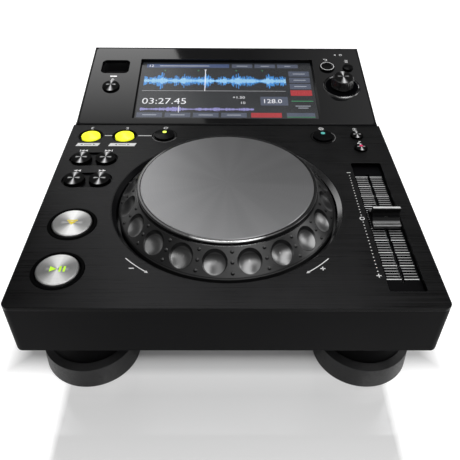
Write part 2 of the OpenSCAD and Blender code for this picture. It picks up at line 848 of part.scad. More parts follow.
module display_housing() {
    ledge_in = lip_t + ledge_w;
    pocket_r = corner_r - lip_t;
    color(CASE_BLACK) placed() difference() {
        union() {
            intersection() {
                across(panel_w) housing_side();
                translate([0, 0, deck_under - cut]) linear_extrude(deck_z) housing_plan();
            }
            translate([-apron_w / 2, panel_y, deck_under - apron_h])
                cube([apron_w, housing_t, apron_h + weld]);
        }
        across(panel_w - 2 * housing_t) chamber_side();
        on_panel([0, ledge_in])
            translate([0, 0, -apron_h - cut])
                linear_extrude(apron_h + 2 * cut)
                    rounded(panel_w - 2 * ledge_in, panel_len - 2 * ledge_in, pocket_r);
        on_panel([0, lip_t])
            translate([0, 0, -panel_t])
                linear_extrude(panel_t + cut) rounded(panel_w - 2 * lip_t, panel_len - 2 * lip_t, pocket_r);
    }
}

module screen_window(grow = 0) {
    translate([0, screen_s + screen_len / 2])
        square([screen_w + 2 * grow, screen_len + 2 * grow], center = true);
}

module display_panel() {
    inset = lip_t + fit_gap;
    color(GLOSS_BLACK) placed() on_panel() {
        translate([0, 0, -panel_t]) linear_extrude(panel_t) difference() {
            translate([0, inset]) rounded(panel_w - 2 * inset, panel_len - 2 * inset, corner_r - lip_t);
            screen_window();
            translate(usb_at) rounded_mid(usb_w, usb_len, usb_r);
            translate(stop_at) circle(stop_d / 2 + run_gap);
            translate(back_at) circle(back_d / 2 + run_gap);
            translate(tag_at) circle(tag_d / 2 + run_gap);
            translate(selector_at) circle(bushing_r + fit_gap);
        }
        for (p = panel_post_places)
            translate([p.x, p.y, 0]) post(panel_post_r, panel_board_z, -panel_t + weld);
    }
}

module screen_glass() {
    color("#20262c") placed() on_panel()
        translate([0, 0, -panel_t - glass_t]) linear_extrude(glass_t) screen_window(glass_margin);
}

module lcd_module() {
    color(STEEL) placed() on_panel()
        translate([0, 0, -panel_t - glass_t - lcd_t]) linear_extrude(lcd_t) screen_window(glass_margin);
}

// Feet
module foot(at) {
    well_r = foot_head_r + foot_head_gap;
    color(SATIN_BLACK) placed() translate([at.x, at.y, 0]) rotate_extrude($fn = 96)
        polygon([[foot_bore_r, foot_head_z], [well_r, foot_head_z], [well_r, 0],
            [foot_r - foot_edge, 0], [foot_r, foot_edge], [foot_r - foot_draft, foot_h - foot_bevel_h],
            [foot_r - foot_draft - foot_bevel, foot_h], [foot_bore_r, foot_h]]);
}

module front_left_foot() foot(foot_places[0]);
module front_right_foot() foot(foot_places[1]);
module rear_left_foot() foot(foot_places[2]);
module rear_right_foot() foot(foot_places[3]);

module foot_posts() {
    hub_r = foot_bore_r + foot_hub_t;
    color(SATIN_BLACK) placed() for (p = foot_places)
        translate([p.x, p.y, 0]) rotate_extrude($fn = 96)
            polygon([[foot_bore_r, foot_h], [neck_r, foot_h], [neck_r, body_bottom],
                [neck_r - neck_t, body_bottom], [neck_r - neck_t, foot_h + neck_t],
                [hub_r, foot_h + neck_t], [hub_r, body_bottom], [foot_bore_r, body_bottom]]);
}

module foot_screws() {
    color(STEEL) placed() for (p = foot_places)
        translate([p.x, p.y, 0]) {
            post(foot_head_r, foot_head_z - foot_head_t, foot_head_z);
            post(foot_screw_d / 2, foot_head_z - weld, base_top + foot_nut_h);
        }
}

// Jog wheel
module jog_surround() {
    color(GLOSS_BLACK) placed() on_deck([0, jog_y]) rotate_extrude($fn = 180)
        polygon([[bush_r + fit_gap, -bush_bottom], [boss_r, -bush_bottom], [boss_r, -dish_bottom],
            [jog_recess_r + dish_wall, -dish_bottom], [jog_recess_r + dish_wall, -deck_t - dish_wall],
            [jog_recess_r + dish_flange, -deck_t - dish_wall], [jog_recess_r + dish_flange, -deck_t],
            [jog_recess_r - fit_gap, -deck_t], [jog_recess_r - fit_gap, -lip_drop],
            [jog_recess_r - fit_gap - lip_edge, -lip_drop], [jog_wall_r, -jog_bevel],
            [jog_wall_r, -jog_depth], [bush_r + fit_gap, -jog_depth]]);
}

module jog_bearing() {
    bore_r = shaft_d / 2 + shaft_gap;
    color("#b08d4f") placed() on_deck([0, jog_y]) {
        tube(bush_r, bore_r, -bush_bottom, -jog_depth + weld);
        tube(bush_r + bush_flange_w, bore_r, -jog_depth, -jog_depth + bush_flange_t);
    }
}

// Section of the wheel: rim with a rounded edge, finger slope, skirt, web and hub
module wheel_section() {
    inner_head = [slope_head_r, slope_head_h] - slope_wall * slope_normal;
    inner_foot = [slope_foot_r, slope_foot_h] - slope_wall * slope_normal;
    bore_r = shaft_d / 2 + press_gap;
    pocket_r = plate_r + fit_gap;
    polygon([[0, pocket_h], [pocket_r, pocket_h], [pocket_r, rim_top], [rim_r - rim_round, rim_top],
        [rim_r, rim_top - rim_round], [rim_r, slope_head_h], [slope_head_r, slope_head_h],
        [slope_foot_r, slope_foot_h], [jog_r, slope_foot_h - skirt_bevel], [jog_r, -jog_skirt],
        [jog_r - skirt_t, -jog_skirt], inner_foot, inner_head, [inner_head.x - web_slant, web_under],
        [hub_d / 2, web_under], [hub_d / 2, hub_bottom], [bore_r, hub_bottom], [bore_r, shaft_top],
        [0, shaft_top]]);
    translate([rim_r - rim_round, rim_top - rim_round]) circle(rim_round);
}

// Stands children on the middle of the finger slope, local Z leaving the surface, local X up the slope
module on_slope(angle) {
    rotate([0, 0, angle]) translate([slope_mid_r, 0, slope_mid_h]) rotate([0, slope_angle, 0])
        rotate([0, 0, 180]) children();
}

module jog_wheel() {
    pitch = 360 / dimple_n;
    color(SATIN_BLACK) placed() on_deck([0, jog_y]) {
        difference() {
            rotate_extrude($fn = 180) wheel_section();
            for (i = [0 : dimple_n - 1])
                on_slope(dimple_phase + i * pitch)
                    translate([0, 0, dimple_lift]) sphere(r = dimple_ball_r);
        }
        for (i = [0 : dimple_n - 1], k = [-1 : 1])
            on_slope(dimple_phase + (i + 0.5) * pitch)
                translate([k * bump_pitch, 0, -bump_d / 8]) sphere(d = bump_d, $fn = 24);
    }
}

module jog_plate() {
    color(STEEL) placed() on_deck([0, jog_y])
        bevelled_disc(plate_r, pocket_h, plate_h, plate_bevel, $fn = 180);
}

module jog_shaft() {
    color(NICKEL) placed() on_deck([0, jog_y])
        bevelled_disc(shaft_d / 2, shaft_bottom, shaft_top - rest_gap, shaft_bevel);
}

module jog_encoder_disc() {
    bore_r = shaft_d / 2 + press_gap;
    color("#8a8c90") placed() on_deck([0, jog_y]) difference() {
        union() {
            tube(shaft_d / 2 + disc_hub_t, bore_r, disc_bottom, disc_bottom + disc_hub_h);
            tube(disc_r, bore_r, disc_bottom, disc_bottom + disc_t);
        }
        for (i = [0 : disc_slots - 1])
            rotate([0, 0, i * 360 / disc_slots])
                translate([disc_r - disc_edge - disc_slot.x, -disc_slot.y / 2, disc_bottom - cut])
                    cube([disc_slot.x, disc_slot.y, disc_t + 2 * cut]);
    }
}

// Forked light gate that reads the disc's edge, standing on the main board
module jog_sensor() {
    disc_z = deck_z + disc_bottom;
    gate_top = disc_z + disc_t + gate_gap + gate_roof;
    gate_y = disc_r - gate_reach;
    color(SATIN_BLACK) placed() translate([0, jog_y, 0]) difference() {
        translate([-gate_w / 2, gate_y, board_top]) cube([gate_w, gate_d, gate_top - board_top]);
        translate([-gate_w / 2 - cut, gate_y - cut, disc_z - gate_gap])
            cube([gate_w + 2 * cut, gate_d - gate_back + cut, disc_t + 2 * gate_gap]);
    }
}

// Fader
module fader_plate() {
    color(GLOSS_BLACK) placed() on_deck(fader_at) difference() {
        union() {
            translate([0, 0, fader_body_top])
                linear_extrude(-fader_body_top - deck_t)
                    rounded_mid(fader_w + 2 * cup_wall, fader_len + 2 * cup_wall, tray_r + cup_wall);
            translate([0, 0, -deck_t - tray_flange_t])
                linear_extrude(tray_flange_t)
                    rounded_mid(fader_w + 2 * tray_flange, fader_len + 2 * tray_flange, tray_r + tray_flange);
        }
        translate([0, 0, -fader_depth]) linear_extrude(fader_depth) rounded_mid(fader_w, fader_len, tray_r);
        translate([0, 0, fader_body_top - cut])
            linear_extrude(tray_floor_t + 2 * cut) square([slot_w, slot_len], center = true);
    }
}

module fader_body() {
    color(STEEL) placed() on_deck(fader_at) translate([0, 0, fader_body_top - fader_body_h]) difference() {
        translate([-fader_body_w / 2, -fader_body_len / 2, 0])
            cube([fader_body_w, fader_body_len, fader_body_h]);
        translate([-fader_body_w / 2 + fader_shell_t, -fader_body_len / 2 + fader_shell_t, fader_shell_t])
            cube([fader_body_w - 2 * fader_shell_t, fader_body_len - 2 * fader_shell_t,
                fader_body_h - 2 * fader_shell_t]);
        translate([-slot_w / 2, -slot_len / 2, fader_body_h - fader_shell_t - cut])
            cube([slot_w, slot_len, fader_shell_t + 2 * cut]);
    }
}

module fader_stem() {
    carriage_top = fader_body_top - fader_shell_t - run_gap;
    color(NICKEL) placed() on_deck(fader_at) {
        translate([-stem_t / 2, -stem_len / 2, carriage_top - weld])
            cube([stem_t, stem_len, stem_top - carriage_top + weld]);
        translate([-carriage_w / 2, -stem_len, carriage_top - carriage_h])
            cube([carriage_w, 2 * stem_len, carriage_h]);
    }
}

// Side outline of the cap, drawn as [along the slot, height]: a ridge between two hollow finger flanks
module cap_side() {
    half = cap_len / 2;
    head = [ridge_w / 2, cap_h - cap_bevel];
    toe = [half - cap_edge, cap_foot_h];
    rise = head.y - toe.y;
    flank_r = (pow(toe.x - head.x, 2) + pow(rise, 2)) / (2 * rise);
    right_side = [[half, 0], [half, cap_foot_h - cap_bevel], [half - cap_bevel, cap_foot_h], toe, head,
        [head.x - cap_bevel, cap_h]];
    left_side = [for (i = [len(right_side) - 1 : -1 : 0]) [-right_side[i].x, right_side[i].y]];
    difference() {
        polygon(concat(right_side, left_side));
        for (side = [-1, 1])
            translate([side * toe.x, toe.y + flank_r]) circle(flank_r);
    }
}

module fader_cap() {
    color(SATIN_BLACK) placed() on_deck(fader_at) translate([0, 0, cap_bottom]) difference() {
        across(cap_w) cap_side();
        translate([-stem_t / 2 - stem_gap, -stem_len / 2 - stem_gap, -cut])
            cube([stem_t + 2 * stem_gap, stem_len + 2 * stem_gap, stem_top - cap_bottom + cut]);
    }
}

// USB well and its socket
module usb_well() {
    color(SATIN_BLACK) placed() on_panel(usb_at) difference() {
        translate([0, 0, panel_board_z])
            linear_extrude(-panel_board_z - panel_t)
                rounded_mid(usb_w + 2 * cup_wall, usb_len + 2 * cup_wall, usb_r + cup_wall);
        translate([0, 0, -usb_depth]) linear_extrude(usb_depth) rounded_mid(usb_w, usb_len, usb_r);
        translate([0, 0, panel_board_z - cut]) linear_extrude(cup_wall + 2 * cut) usb_passage();
    }
}

// Hole that takes the socket's shell
module usb_passage() {
    square([usb_a_size.x + 2 * fit_gap, usb_a_size.y + 2 * fit_gap], center = true);
}

module usb_socket() {
    mouth = [usb_a_size.x - 2 * usb_a_shell, usb_a_size.y - 2 * usb_a_shell];
    floor_z = usb_a_size.z - usb_a_depth;
    color(NICKEL) placed() on_panel(usb_at) translate([0, 0, -usb_depth - usb_a_size.z]) {
        difference() {
            linear_extrude(usb_a_size.z) square([usb_a_size.x, usb_a_size.y], center = true);
            translate([0, 0, floor_z]) linear_extrude(usb_a_depth + cut) square(mouth, center = true);
        }
        translate([0, mouth.y / 2 - usb_a_tongue_gap - usb_a_tongue / 2, floor_z - weld])
            linear_extrude(usb_a_depth + weld - mouth_inset)
                square([mouth.x - 2 * usb_a_tongue_gap, usb_a_tongue], center = true);
    }
}

// Rear sockets
module rca_jacks() {
    color(NICKEL) placed() for (x = rca_x) {
        difference() {
            union() {
                translate([x - rca_block.x / 2, case_d - wall_t - rca_block.y, board_top]) cube(rca_block);
                on_rear(x, board_top + rca_z) post(rca_d / 2, -wall_t - weld, rca_out);
                on_rear(x, board_top + rca_z) post(rca_collar_r, 0, rca_collar_t);
            }
            on_rear(x, board_top + rca_z) post(rca_pin_r, -wall_t, rca_out + cut);
        }
    }
}

module socket_block(x, size) {
    translate([x - size.x / 2, case_d - size.y, board_top]) cube(size);
}

module lan_socket() {
    mouth_z = board_top + lan_sill;
    color(NICKEL) placed() difference() {
        socket_block(lan_x, lan_size);
        translate([lan_x - lan_mouth.x / 2, case_d - lan_mouth.y, mouth_z])
            cube([lan_mouth.x, lan_mouth.y + cut, lan_mouth.z]);
        translate([lan_x - lan_latch.x / 2, case_d - lan_mouth.y, mouth_z + lan_mouth.z - cut])
            cube([lan_latch.x, lan_mouth.y + cut, lan_latch.y + cut]);
    }
}

module usb_b_socket() {
    mouth_z = board_top + (usb_b_size.z - usb_b_mouth.z) / 2;
    tongue_z = board_top + (usb_b_size.z - usb_b_tongue.y) / 2;
    color(NICKEL) placed() {
        difference() {
            socket_block(usb_b_x, usb_b_size);
            translate([usb_b_x - usb_b_mouth.x / 2, case_d - usb_b_mouth.y, mouth_z])
                cube([usb_b_mouth.x, usb_b_mouth.y + cut, usb_b_mouth.z]);
        }
        translate([usb_b_x - usb_b_tongue.x / 2, case_d - usb_b_mouth.y - weld, tongue_z])
            cube([usb_b_tongue.x, usb_b_mouth.y + weld - mouth_inset, usb_b_tongue.y]);
    }
}

module dc_inlet() {
    color(SATIN_BLACK) placed() {
        difference() {
            socket_block(dc_x, dc_size);
            on_rear(dc_x, board_top + dc_size.z / 2) post(dc_bore_r, -dc_bore_depth, cut);
        }
        on_rear(dc_x, board_top + dc_size.z / 2) post(dc_pin_r, -dc_bore_depth - weld, -mouth_inset);
    }
}

// Boards and switches
module main_board() {
    color(BOARD_GREEN) placed() translate([-board_w / 2, board_y0, board_top - board_t])
        cube([board_w, board_d, board_t]);
}

// Rectangle between two corners
module corner_square(low, high) {
    translate(low) square(high - low);
}

module left_key_board() {
    x0 = -deck_w / 2 + wall_t + board_gap;
    y1 = deck_d - wall_t - board_gap;
    column_end = -jog_recess_r - dish_wall - board_gap;
    row_end = reloop_at.x + key_margin;
    color(BOARD_GREEN) placed() translate([0, 0, key_top - board_t]) linear_extrude(board_t) {
        corner_square([x0, play_at.y - ring_d / 2], [column_end, y1]);
        corner_square([x0, loop_in_at.y - key_margin], [row_end, y1]);
    }
}

module right_key_board() {
    low = [vinyl_at.x - key_margin, master_at.y - tempo_d / 2 - flange_w - board_gap];
    high = [deck_w / 2 - wall_t - board_gap, deck_d - wall_t - board_gap];
    color(BOARD_GREEN) placed() translate([0, 0, key_top - board_t]) linear_extrude(board_t)
        corner_square(low, high);
}

module display_board() {
    half = panel_w / 2 - housing_t - 2 * board_gap;
    color(BOARD_GREEN) placed() on_panel() translate([0, 0, panel_board_z - board_t]) linear_extrude(board_t)
        difference() {
            corner_square([-half, panel_board_ends[0]], [half, panel_len - panel_board_ends[1]]);
            translate(usb_at) usb_passage();
        }
}

module key_switch() {
    body_h = switch_h - switch_stem_h;
    translate([-switch_w / 2, -switch_w / 2, 0]) cube([switch_w, switch_w, body_h]);
    post(switch_stem_r, body_h - weld, switch_h);
}

module key_switches() {
    color(SATIN_BLACK) placed() {
        for (p = deck_key_places)
            translate([p.x, p.y, key_top]) key_switch();
        for (p = [stop_at, back_at, tag_at])
            on_panel(p) translate([0, 0, panel_board_z]) key_switch();
        translate([power_x - power_switch.x / 2, case_d + power_switch_y - power_switch.y, board_top])
            cube([power_switch.x, power_switch.y, power_z + power_switch_rise - board_top]);
    }
}

// Rings and cups round the deck's buttons
module transport_rings() {
    r_in = transport_d / 2 + run_gap;
    r_spigot = ring_d / 2 - ring_lap;
    throat = 2 * ring_h;
    color(GLOSS_BLACK) placed() for (p = [cue_at, play_at])
        on_deck(p) rotate_extrude()
            polygon([[r_in, -ring_seat], [r_spigot, -ring_seat], [r_spigot, 0], [ring_d / 2, 0],
                [ring_d / 2 - ring_h, ring_h], [r_in + throat, ring_h], [r_in, ring_h - throat]]);
}

module loop_cups() {
    color(GLOSS_BLACK) placed() for (p = [loop_in_at, loop_out_at])
        on_deck(p) {
            tube(loop_hole_d / 2 - fit_gap, loop_d / 2 + run_gap, -deck_t - weld, -cup_depth);
            tube(loop_hole_d / 2 + cup_flange, loop_d / 2 + run_gap, -cup_seat, -deck_t);
        }
}

module search_cups() {
    color(GLOSS_BLACK) placed() for (p = [track_at, search_at])
        on_deck(p) difference() {
            union() {
                translate([0, 0, -deck_t - weld])
                    linear_extrude(deck_t + weld - cup_depth)
                        oblong(pair_len - 2 * fit_gap, search_cup_w - 2 * fit_gap);
                translate([0, 0, -cup_seat])
                    linear_extrude(cup_wall) oblong(pair_len + 2 * cup_flange, search_cup_w + 2 * cup_flange);
            }
            for (s = [-1, 1])
                translate([s * pair_pitch / 2, 0, 0]) post(search_d / 2 + run_gap, -cup_seat - cut, cut);
        }
}

// Deck buttons
module cue_button() color(NICKEL) placed() transport_button(cue_at);
module play_button() color(NICKEL) placed() transport_button(play_at);
module loop_in_button() color("#f2d21c") placed() loop_button(loop_in_at);
module loop_out_button() color("#f2d21c") placed() loop_button(loop_out_at);
module reloop_button() color(SATIN_BLACK) placed() deck_button(reloop_at, mode_d);
module vinyl_mode_button() color(SATIN_BLACK) placed() deck_button(vinyl_at, mode_d);
module tempo_range_button() color(SATIN_BLACK) placed() deck_button(range_at, tempo_d);
module master_tempo_button() color(SATIN_BLACK) placed() deck_button(master_at, tempo_d);
module track_back_button() color(SATIN_BLACK) placed() search_button(track_at, -1);
module track_next_button() color(SATIN_BLACK) placed() search_button(track_at, 1);
module search_back_button() color(SATIN_BLACK) placed() search_button(search_at, -1);
module search_forward_button() color(SATIN_BLACK) placed() search_button(search_at, 1);

// Display panel buttons
module back_button() color(SATIN_BLACK) placed() panel_button(back_at, back_d);
module tag_track_button() color(SATIN_BLACK) placed() panel_button(tag_at, tag_d);
module usb_stop_button() color(SATIN_BLACK) placed() panel_button(stop_at, stop_d);

module power_button() {
    flange_front = -wall_t - rest_gap - flange_t;
    color(SATIN_BLACK) placed() on_rear(power_x, power_z) {
        bevelled_disc(power_d / 2, flange_front, power_h, power_bevel);
        post(power_d / 2 + flange_w, flange_front, flange_front + flange_t);
        post(plunger_r, flange_front - power_plunger, flange_front + weld);
    }
}

// Rotary selector
module selector_ring() {
    r_in = bushing_r + fit_gap;
    rim_outer = selector_ring_d / 2 - selector_rim[0];
    rim_inner = rim_outer - selector_rim[1];
    color(GLOSS_BLACK) placed() on_panel(selector_at) rotate_extrude($fn = 96)
        polygon([[r_in, 0], [selector_ring_d / 2, 0], [rim_outer, selector_ring_h],
            [rim_inner, selector_ring_h], [rim_inner - selector_rim[2], selector_disc_h],
            [r_in, selector_disc_h]]);
}

module selector_encoder() {
    bore_r = selector_shaft_d / 2 + shaft_gap;
    color(STEEL) placed() on_panel(selector_at) difference() {
        union() {
            translate([-encoder_w / 2, -encoder_w / 2, panel_board_z])
                cube([encoder_w, encoder_w, encoder_top - panel_board_z]);
            post(bushing_r, encoder_top - weld, selector_disc_h);
        }
        post(bore_r, encoder_top - encoder_roof - weld, selector_disc_h + cut);
        post(encoder_bore_r, panel_board_z + encoder_floor_t, encoder_top - encoder_roof);
    }
}

module selector_plunger() {
    color("#d8d4c8") placed() on_panel(selector_at)
        post(encoder_bore_r - run_gap, plunger_bottom, plunger_top);
}

module selector_shaft() {
    color(NICKEL) placed() on_panel(selector_at)
        post(selector_shaft_d / 2, selector_shaft_bottom, selector_shaft_top);
}

module selector_knob() {
    color(SATIN_BLACK) placed() on_panel(selector_at) difference() {
        rotate_extrude($fn = 96)
            polygon([[0, knob_bottom], [knob_d / 2, knob_bottom], [knob_head_d / 2, knob_top - knob_bevel],
                [knob_head_d / 2 - knob_bevel, knob_top], [0, knob_top]]);
        post(selector_shaft_d / 2 + press_gap, knob_bottom - cut, selector_shaft_top + rest_gap);
        for (i = [0 : knob_grooves - 1])
            rotate([0, 0, i * 360 / knob_grooves])
                translate([knob_d / 2 + groove_r / 2, 0, knob_bottom]) rotate([0, -knob_lean, 0])
                    post(groove_r, -cut, knob_top - groove_stop - knob_bottom);
    }
}

bottom_plate();
main_case();
deck_panel();
display_housing();
display_panel();
screen_glass();
lcd_module();
front_left_foot();
front_right_foot();
rear_left_foot();
rear_right_foot();
foot_posts();
foot_screws();
base_screws();
jog_surround();
jog_bearing();
jog_sensor();
jog_wheel();
jog_plate();
jog_shaft();
jog_encoder_disc();
fader_plate();
fader_body();
fader_stem();
fader_cap();
usb_well();
usb_socket();
rca_jacks();
lan_socket();
usb_b_socket();
dc_inlet();
main_board();
left_key_board();
right_key_board();
display_board();
key_switches();
transport_rings();
loop_cups();
search_cups();
selector_ring();
selector_encoder();
selector_plunger();
selector_shaft();
selector_knob();
cue_button();
play_button();
loop_in_button();
loop_out_button();
reloop_button();
track_back_button();
track_next_button();
search_back_button();
search_forward_button();
vinyl_mode_button();
tempo_range_button();
master_tempo_button();
back_button();
tag_track_button();
usb_stop_button();
power_button();
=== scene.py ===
"""Looks of a tabletop media player for a disc jockey.

Finishes, printed marks, a screen picture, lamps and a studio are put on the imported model. Marks are drawn in
millimetres on three of its planes: the deck, the display panel and the glass. Deck places are (x, distance
behind the front edge); panel and glass places are (x, distance up the slope).
"""

import json
import math

import bmesh
import bpy
from bpy.props import FloatProperty, FloatVectorProperty, IntProperty, PointerProperty
from bpy.types import Operator, Panel, PropertyGroup
from mathutils import Matrix, Vector


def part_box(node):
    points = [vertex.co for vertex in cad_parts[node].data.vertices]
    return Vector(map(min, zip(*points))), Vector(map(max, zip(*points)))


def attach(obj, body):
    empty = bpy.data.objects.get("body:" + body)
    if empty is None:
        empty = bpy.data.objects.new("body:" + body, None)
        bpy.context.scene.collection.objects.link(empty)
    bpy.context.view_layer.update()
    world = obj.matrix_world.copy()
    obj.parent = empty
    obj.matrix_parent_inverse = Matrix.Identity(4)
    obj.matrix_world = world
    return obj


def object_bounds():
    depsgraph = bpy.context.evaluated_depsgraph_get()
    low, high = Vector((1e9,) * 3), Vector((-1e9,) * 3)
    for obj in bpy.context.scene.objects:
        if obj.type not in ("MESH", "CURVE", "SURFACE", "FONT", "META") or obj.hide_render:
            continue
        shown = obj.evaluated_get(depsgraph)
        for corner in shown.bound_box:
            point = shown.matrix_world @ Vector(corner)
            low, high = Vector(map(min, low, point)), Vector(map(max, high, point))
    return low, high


bl_info = {
    "name": "Media Player Looks",
    "version": (1, 0, 0),
    "blender": (4, 5, 0),
    "location": "View3D > Sidebar > Player",
    "description": "Finishes, printed marks, screen picture, lamps and studio of a media player",
    "category": "Object",
}

MM = 0.001
FULL_TURN = 2 * math.pi
QUARTER_TURN = 0.25
PRINCIPLED = "Principled BSDF"
GLOSS = "Specular IOR Level"

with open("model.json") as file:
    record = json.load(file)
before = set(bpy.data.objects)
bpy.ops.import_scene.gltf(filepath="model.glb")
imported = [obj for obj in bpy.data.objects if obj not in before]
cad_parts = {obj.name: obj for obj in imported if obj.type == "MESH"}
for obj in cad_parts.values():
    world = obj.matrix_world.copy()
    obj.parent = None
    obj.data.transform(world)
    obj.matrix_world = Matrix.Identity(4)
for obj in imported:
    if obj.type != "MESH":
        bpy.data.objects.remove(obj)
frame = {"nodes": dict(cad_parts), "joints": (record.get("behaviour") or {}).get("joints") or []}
NODES = frame["nodes"]
CAD_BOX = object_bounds()


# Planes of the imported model


def joint_axis(name):
    """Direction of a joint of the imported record."""
    found = next(joint for joint in frame["joints"] if joint["name"] == name)
    return Vector(found["axis"]).normalized()


def highest_along(node, direction):
    """Largest distance of a node's vertices along a direction."""
    return max(vertex.co.dot(direction) for vertex in NODES[node].data.vertices)


def plane_matrix(normal, height, front):
    """Matrix from millimetres on a sloped plane to the frame, with zero at the plane's front edge."""
    up_slope = normal.cross(Vector((1, 0, 0))).normalized()
    origin = Vector((0, front, (height - normal.y * front) / normal.z))
    turned = Matrix((Vector((1, 0, 0)), up_slope, normal)).transposed().to_4x4()
    return Matrix.Translation(origin) @ turned @ Matrix.Scale(MM, 4)


UP = Vector((0, 0, 1))
PANEL_UP = joint_axis("selector_turn")
if PANEL_UP.z < 0:
    PANEL_UP = -PANEL_UP
DECK_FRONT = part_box("deck_panel")[0].y
PANEL_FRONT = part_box("display_housing")[0].y
DECK_PLANE = plane_matrix(UP, highest_along("deck_panel", UP), DECK_FRONT)
PANEL_PLANE = plane_matrix(PANEL_UP, highest_along("display_panel", PANEL_UP), PANEL_FRONT)
GLASS_PLANE = plane_matrix(PANEL_UP, highest_along("screen_glass", PANEL_UP), PANEL_FRONT)


def centre_of(node):
    """Centre of a node's box in the frame."""
    low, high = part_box(node)
    return (low + high) / 2


def place_on(plane, node):
    """Centre of a node in millimetres on a plane."""
    return plane.inverted() @ centre_of(node)


def places_on(plane, *nodes):
    """Centres of several nodes in millimetres on a plane."""
    return [place_on(plane, node) for node in nodes]


def deck_height(node):
    """Height of a node's top above the deck in millimetres."""
    return (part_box(node)[1].z - DECK_PLANE.translation.z) / MM


def surface_height(plane, node, x, y):
    """Height of a node's top above a plane at a place on it, in millimetres."""
    above = plane @ Vector((x, y, 100))
    down = -(plane.to_3x3() @ UP).normalized()
    hit, point, _, _ = NODES[node].ray_cast(above, down)
    if not hit:
        raise ValueError("no surface of " + node)
    return (plane.inverted() @ point).z


def raised(plane, height):
    """The same plane moved out by a height in millimetres."""
    return plane @ Matrix.Translation((0, 0, height))


# Settings that a user would change


def colour(name, description, default):
    """Colour setting."""
    words = {"name": name, "description": description}
    return FloatVectorProperty(**words, default=default, subtype="COLOR", min=0, max=1)


def length(name, description, default):
    """Length setting in metres."""
    words = {"name": name, "description": description}
    return FloatProperty(**words, default=default, subtype="DISTANCE", unit="LENGTH")


def factor(name, description, default, top=1.0):
    """Plain number setting."""
    return FloatProperty(name=name, description=description, default=default, min=0, max=top)


class PlayerCaseSettings(PropertyGroup):
    """Colours of the case, deck and display housing."""

    case: colour("Case", "Moulded case and display housing", (0.0045, 0.0045, 0.005))
    deck: colour("Deck", "Brushed deck plate", (0.017, 0.017, 0.0175))
    gloss: colour("Gloss", "Glossy display panel and rings", (0.0025, 0.0025, 0.003))
    rubber: colour("Rubber", "Feet", (0.007, 0.007, 0.0075))
    steel: colour("Steel", "Bottom plate and screws", (0.42, 0.42, 0.43))
    nickel: colour("Nickel", "Sockets and shafts", (0.62, 0.61, 0.58))
    edge: length("Edge", "Radius of the softened edges", 0.0003)


class PlayerControlSettings(PropertyGroup):
    """Colours of the wheel, buttons and fader."""

    plate: colour("Plate", "Spun plate of the jog wheel", (0.26, 0.26, 0.265))
    ring: colour("Finger ring", "Satin ring with the dimples", (0.007, 0.007, 0.0073))
    # Silver and black keys: these colours are the tops of painted bow-tie highlights; between the wedges the
    # faces are a small share of them.
    silver: colour("Silver keys", "Spun discs of the transport buttons", (0.9, 0.9, 0.89))
    black: colour("Black keys", "Sheen of the spun black buttons", (0.75, 0.75, 0.76))
    yellow: colour("Yellow keys", "Lit loop buttons", (0.93, 0.98, 0.03))
    lime: colour("Lime", "Lit play mark", (0.42, 0.72, 0.02))
    red: colour("Red", "Lamp of the tempo lock", (0.5, 0.02, 0.09))
    teal: colour("Teal", "Lamp of the wheel mode", (0.08, 0.36, 0.33))


class PlayerPrintSettings(PropertyGroup):
    """Printed marks."""

    ink: colour("Ink", "White print", (0.72, 0.72, 0.72))
    tick: colour("Ticks", "Grey scale lines", (0.46, 0.46, 0.46))
    thick: FloatProperty(name="Thickness", description="Thickness of the print in millimetres", default=0.04)
    ticks: IntProperty(name="Ticks", description="Lines in each column of the fader scale", default=46)
    tick_pitch: FloatProperty(name="Tick pitch", description="Millimetres between scale lines", default=2.15)
    dot_pitch: FloatProperty(name="Dot pitch", description="Millimetres between scale dots", default=2.8)


class PlayerScreenSettings(PropertyGroup):
    """Colours of the screen picture."""

    back: colour("Background", "Dark slate behind the picture", (0.012, 0.0135, 0.016))
    tab: colour("Tab", "Slate tabs", (0.055, 0.065, 0.095))
    strip: colour("Strip", "Blue header strip", (0.04, 0.06, 0.13))
    wave: colour("Wave", "Wave picture", (0.04, 0.2, 0.5))
    overview: colour("Overview", "Lavender overview of the whole track", (0.2, 0.19, 0.4))
    red: colour("Red", "Red keys", (0.28, 0.02, 0.025))
    green: colour("Green", "Green marks", (0.03, 0.16, 0.07))
    white: colour("White", "Numerals and play line", (0.6, 0.6, 0.62))


class PlayerStageSettings(PropertyGroup):
    """Studio."""

    floor: colour("Floor", "Floor", (0.6, 0.6, 0.6))
    floor_lift: factor("Floor lift", "Brightness that the camera adds to the floor", 0.8)
    mirror: factor("Mirror", "Share of mirror reflection in front of the case", 0.42)
    world: factor("World", "Strength of the surrounding light", 0.12)
    top_light: factor("Top light", "Radiance of the two overhead softboxes", 1.8, 20)
    top_rear_light: factor("Top rear light", "Radiance of the softbox over the rear", 3.3, 20)
    rear_light: factor("Rear light", "Radiance of the softbox behind on the left", 2.6, 20)
    front_light: factor("Front light", "Radiance of the softbox above the camera", 1.5, 20)
    right_light: factor("Right light", "Radiance of the strip on the right", 2.5, 20)
    dim_light: factor("Dim light", "Radiance of the dim card behind on the right", 0.48, 20)
    lens: FloatProperty(name="Lens", description="Focal length of the camera in millimetres", default=43.395)


SETTINGS = {
    "player_case": PlayerCaseSettings,
    "player_control": PlayerControlSettings,
    "player_print": PlayerPrintSettings,
    "player_screen": PlayerScreenSettings,
    "player_stage": PlayerStageSettings,
}


# Shader building


def add(tree, kind, inputs=None, **options):
    """Adds a node, sets its options, and sets or links its inputs."""
    made = tree.nodes.new(kind)
    for option, value in options.items():
        setattr(made, option, value)
    for key, value in (inputs or {}).items():
        if isinstance(value, bpy.types.NodeSocket):
            tree.links.new(value, made.inputs[key])
        else:
            made.inputs[key].default_value = value
    return made


def math_of(tree, operation, first, second=0.0, clamp=False):
    """Output of a Math node."""
    made = add(tree, "ShaderNodeMath", {0: first, 1: second}, operation=operation, use_clamp=clamp)
    return made.outputs[0]


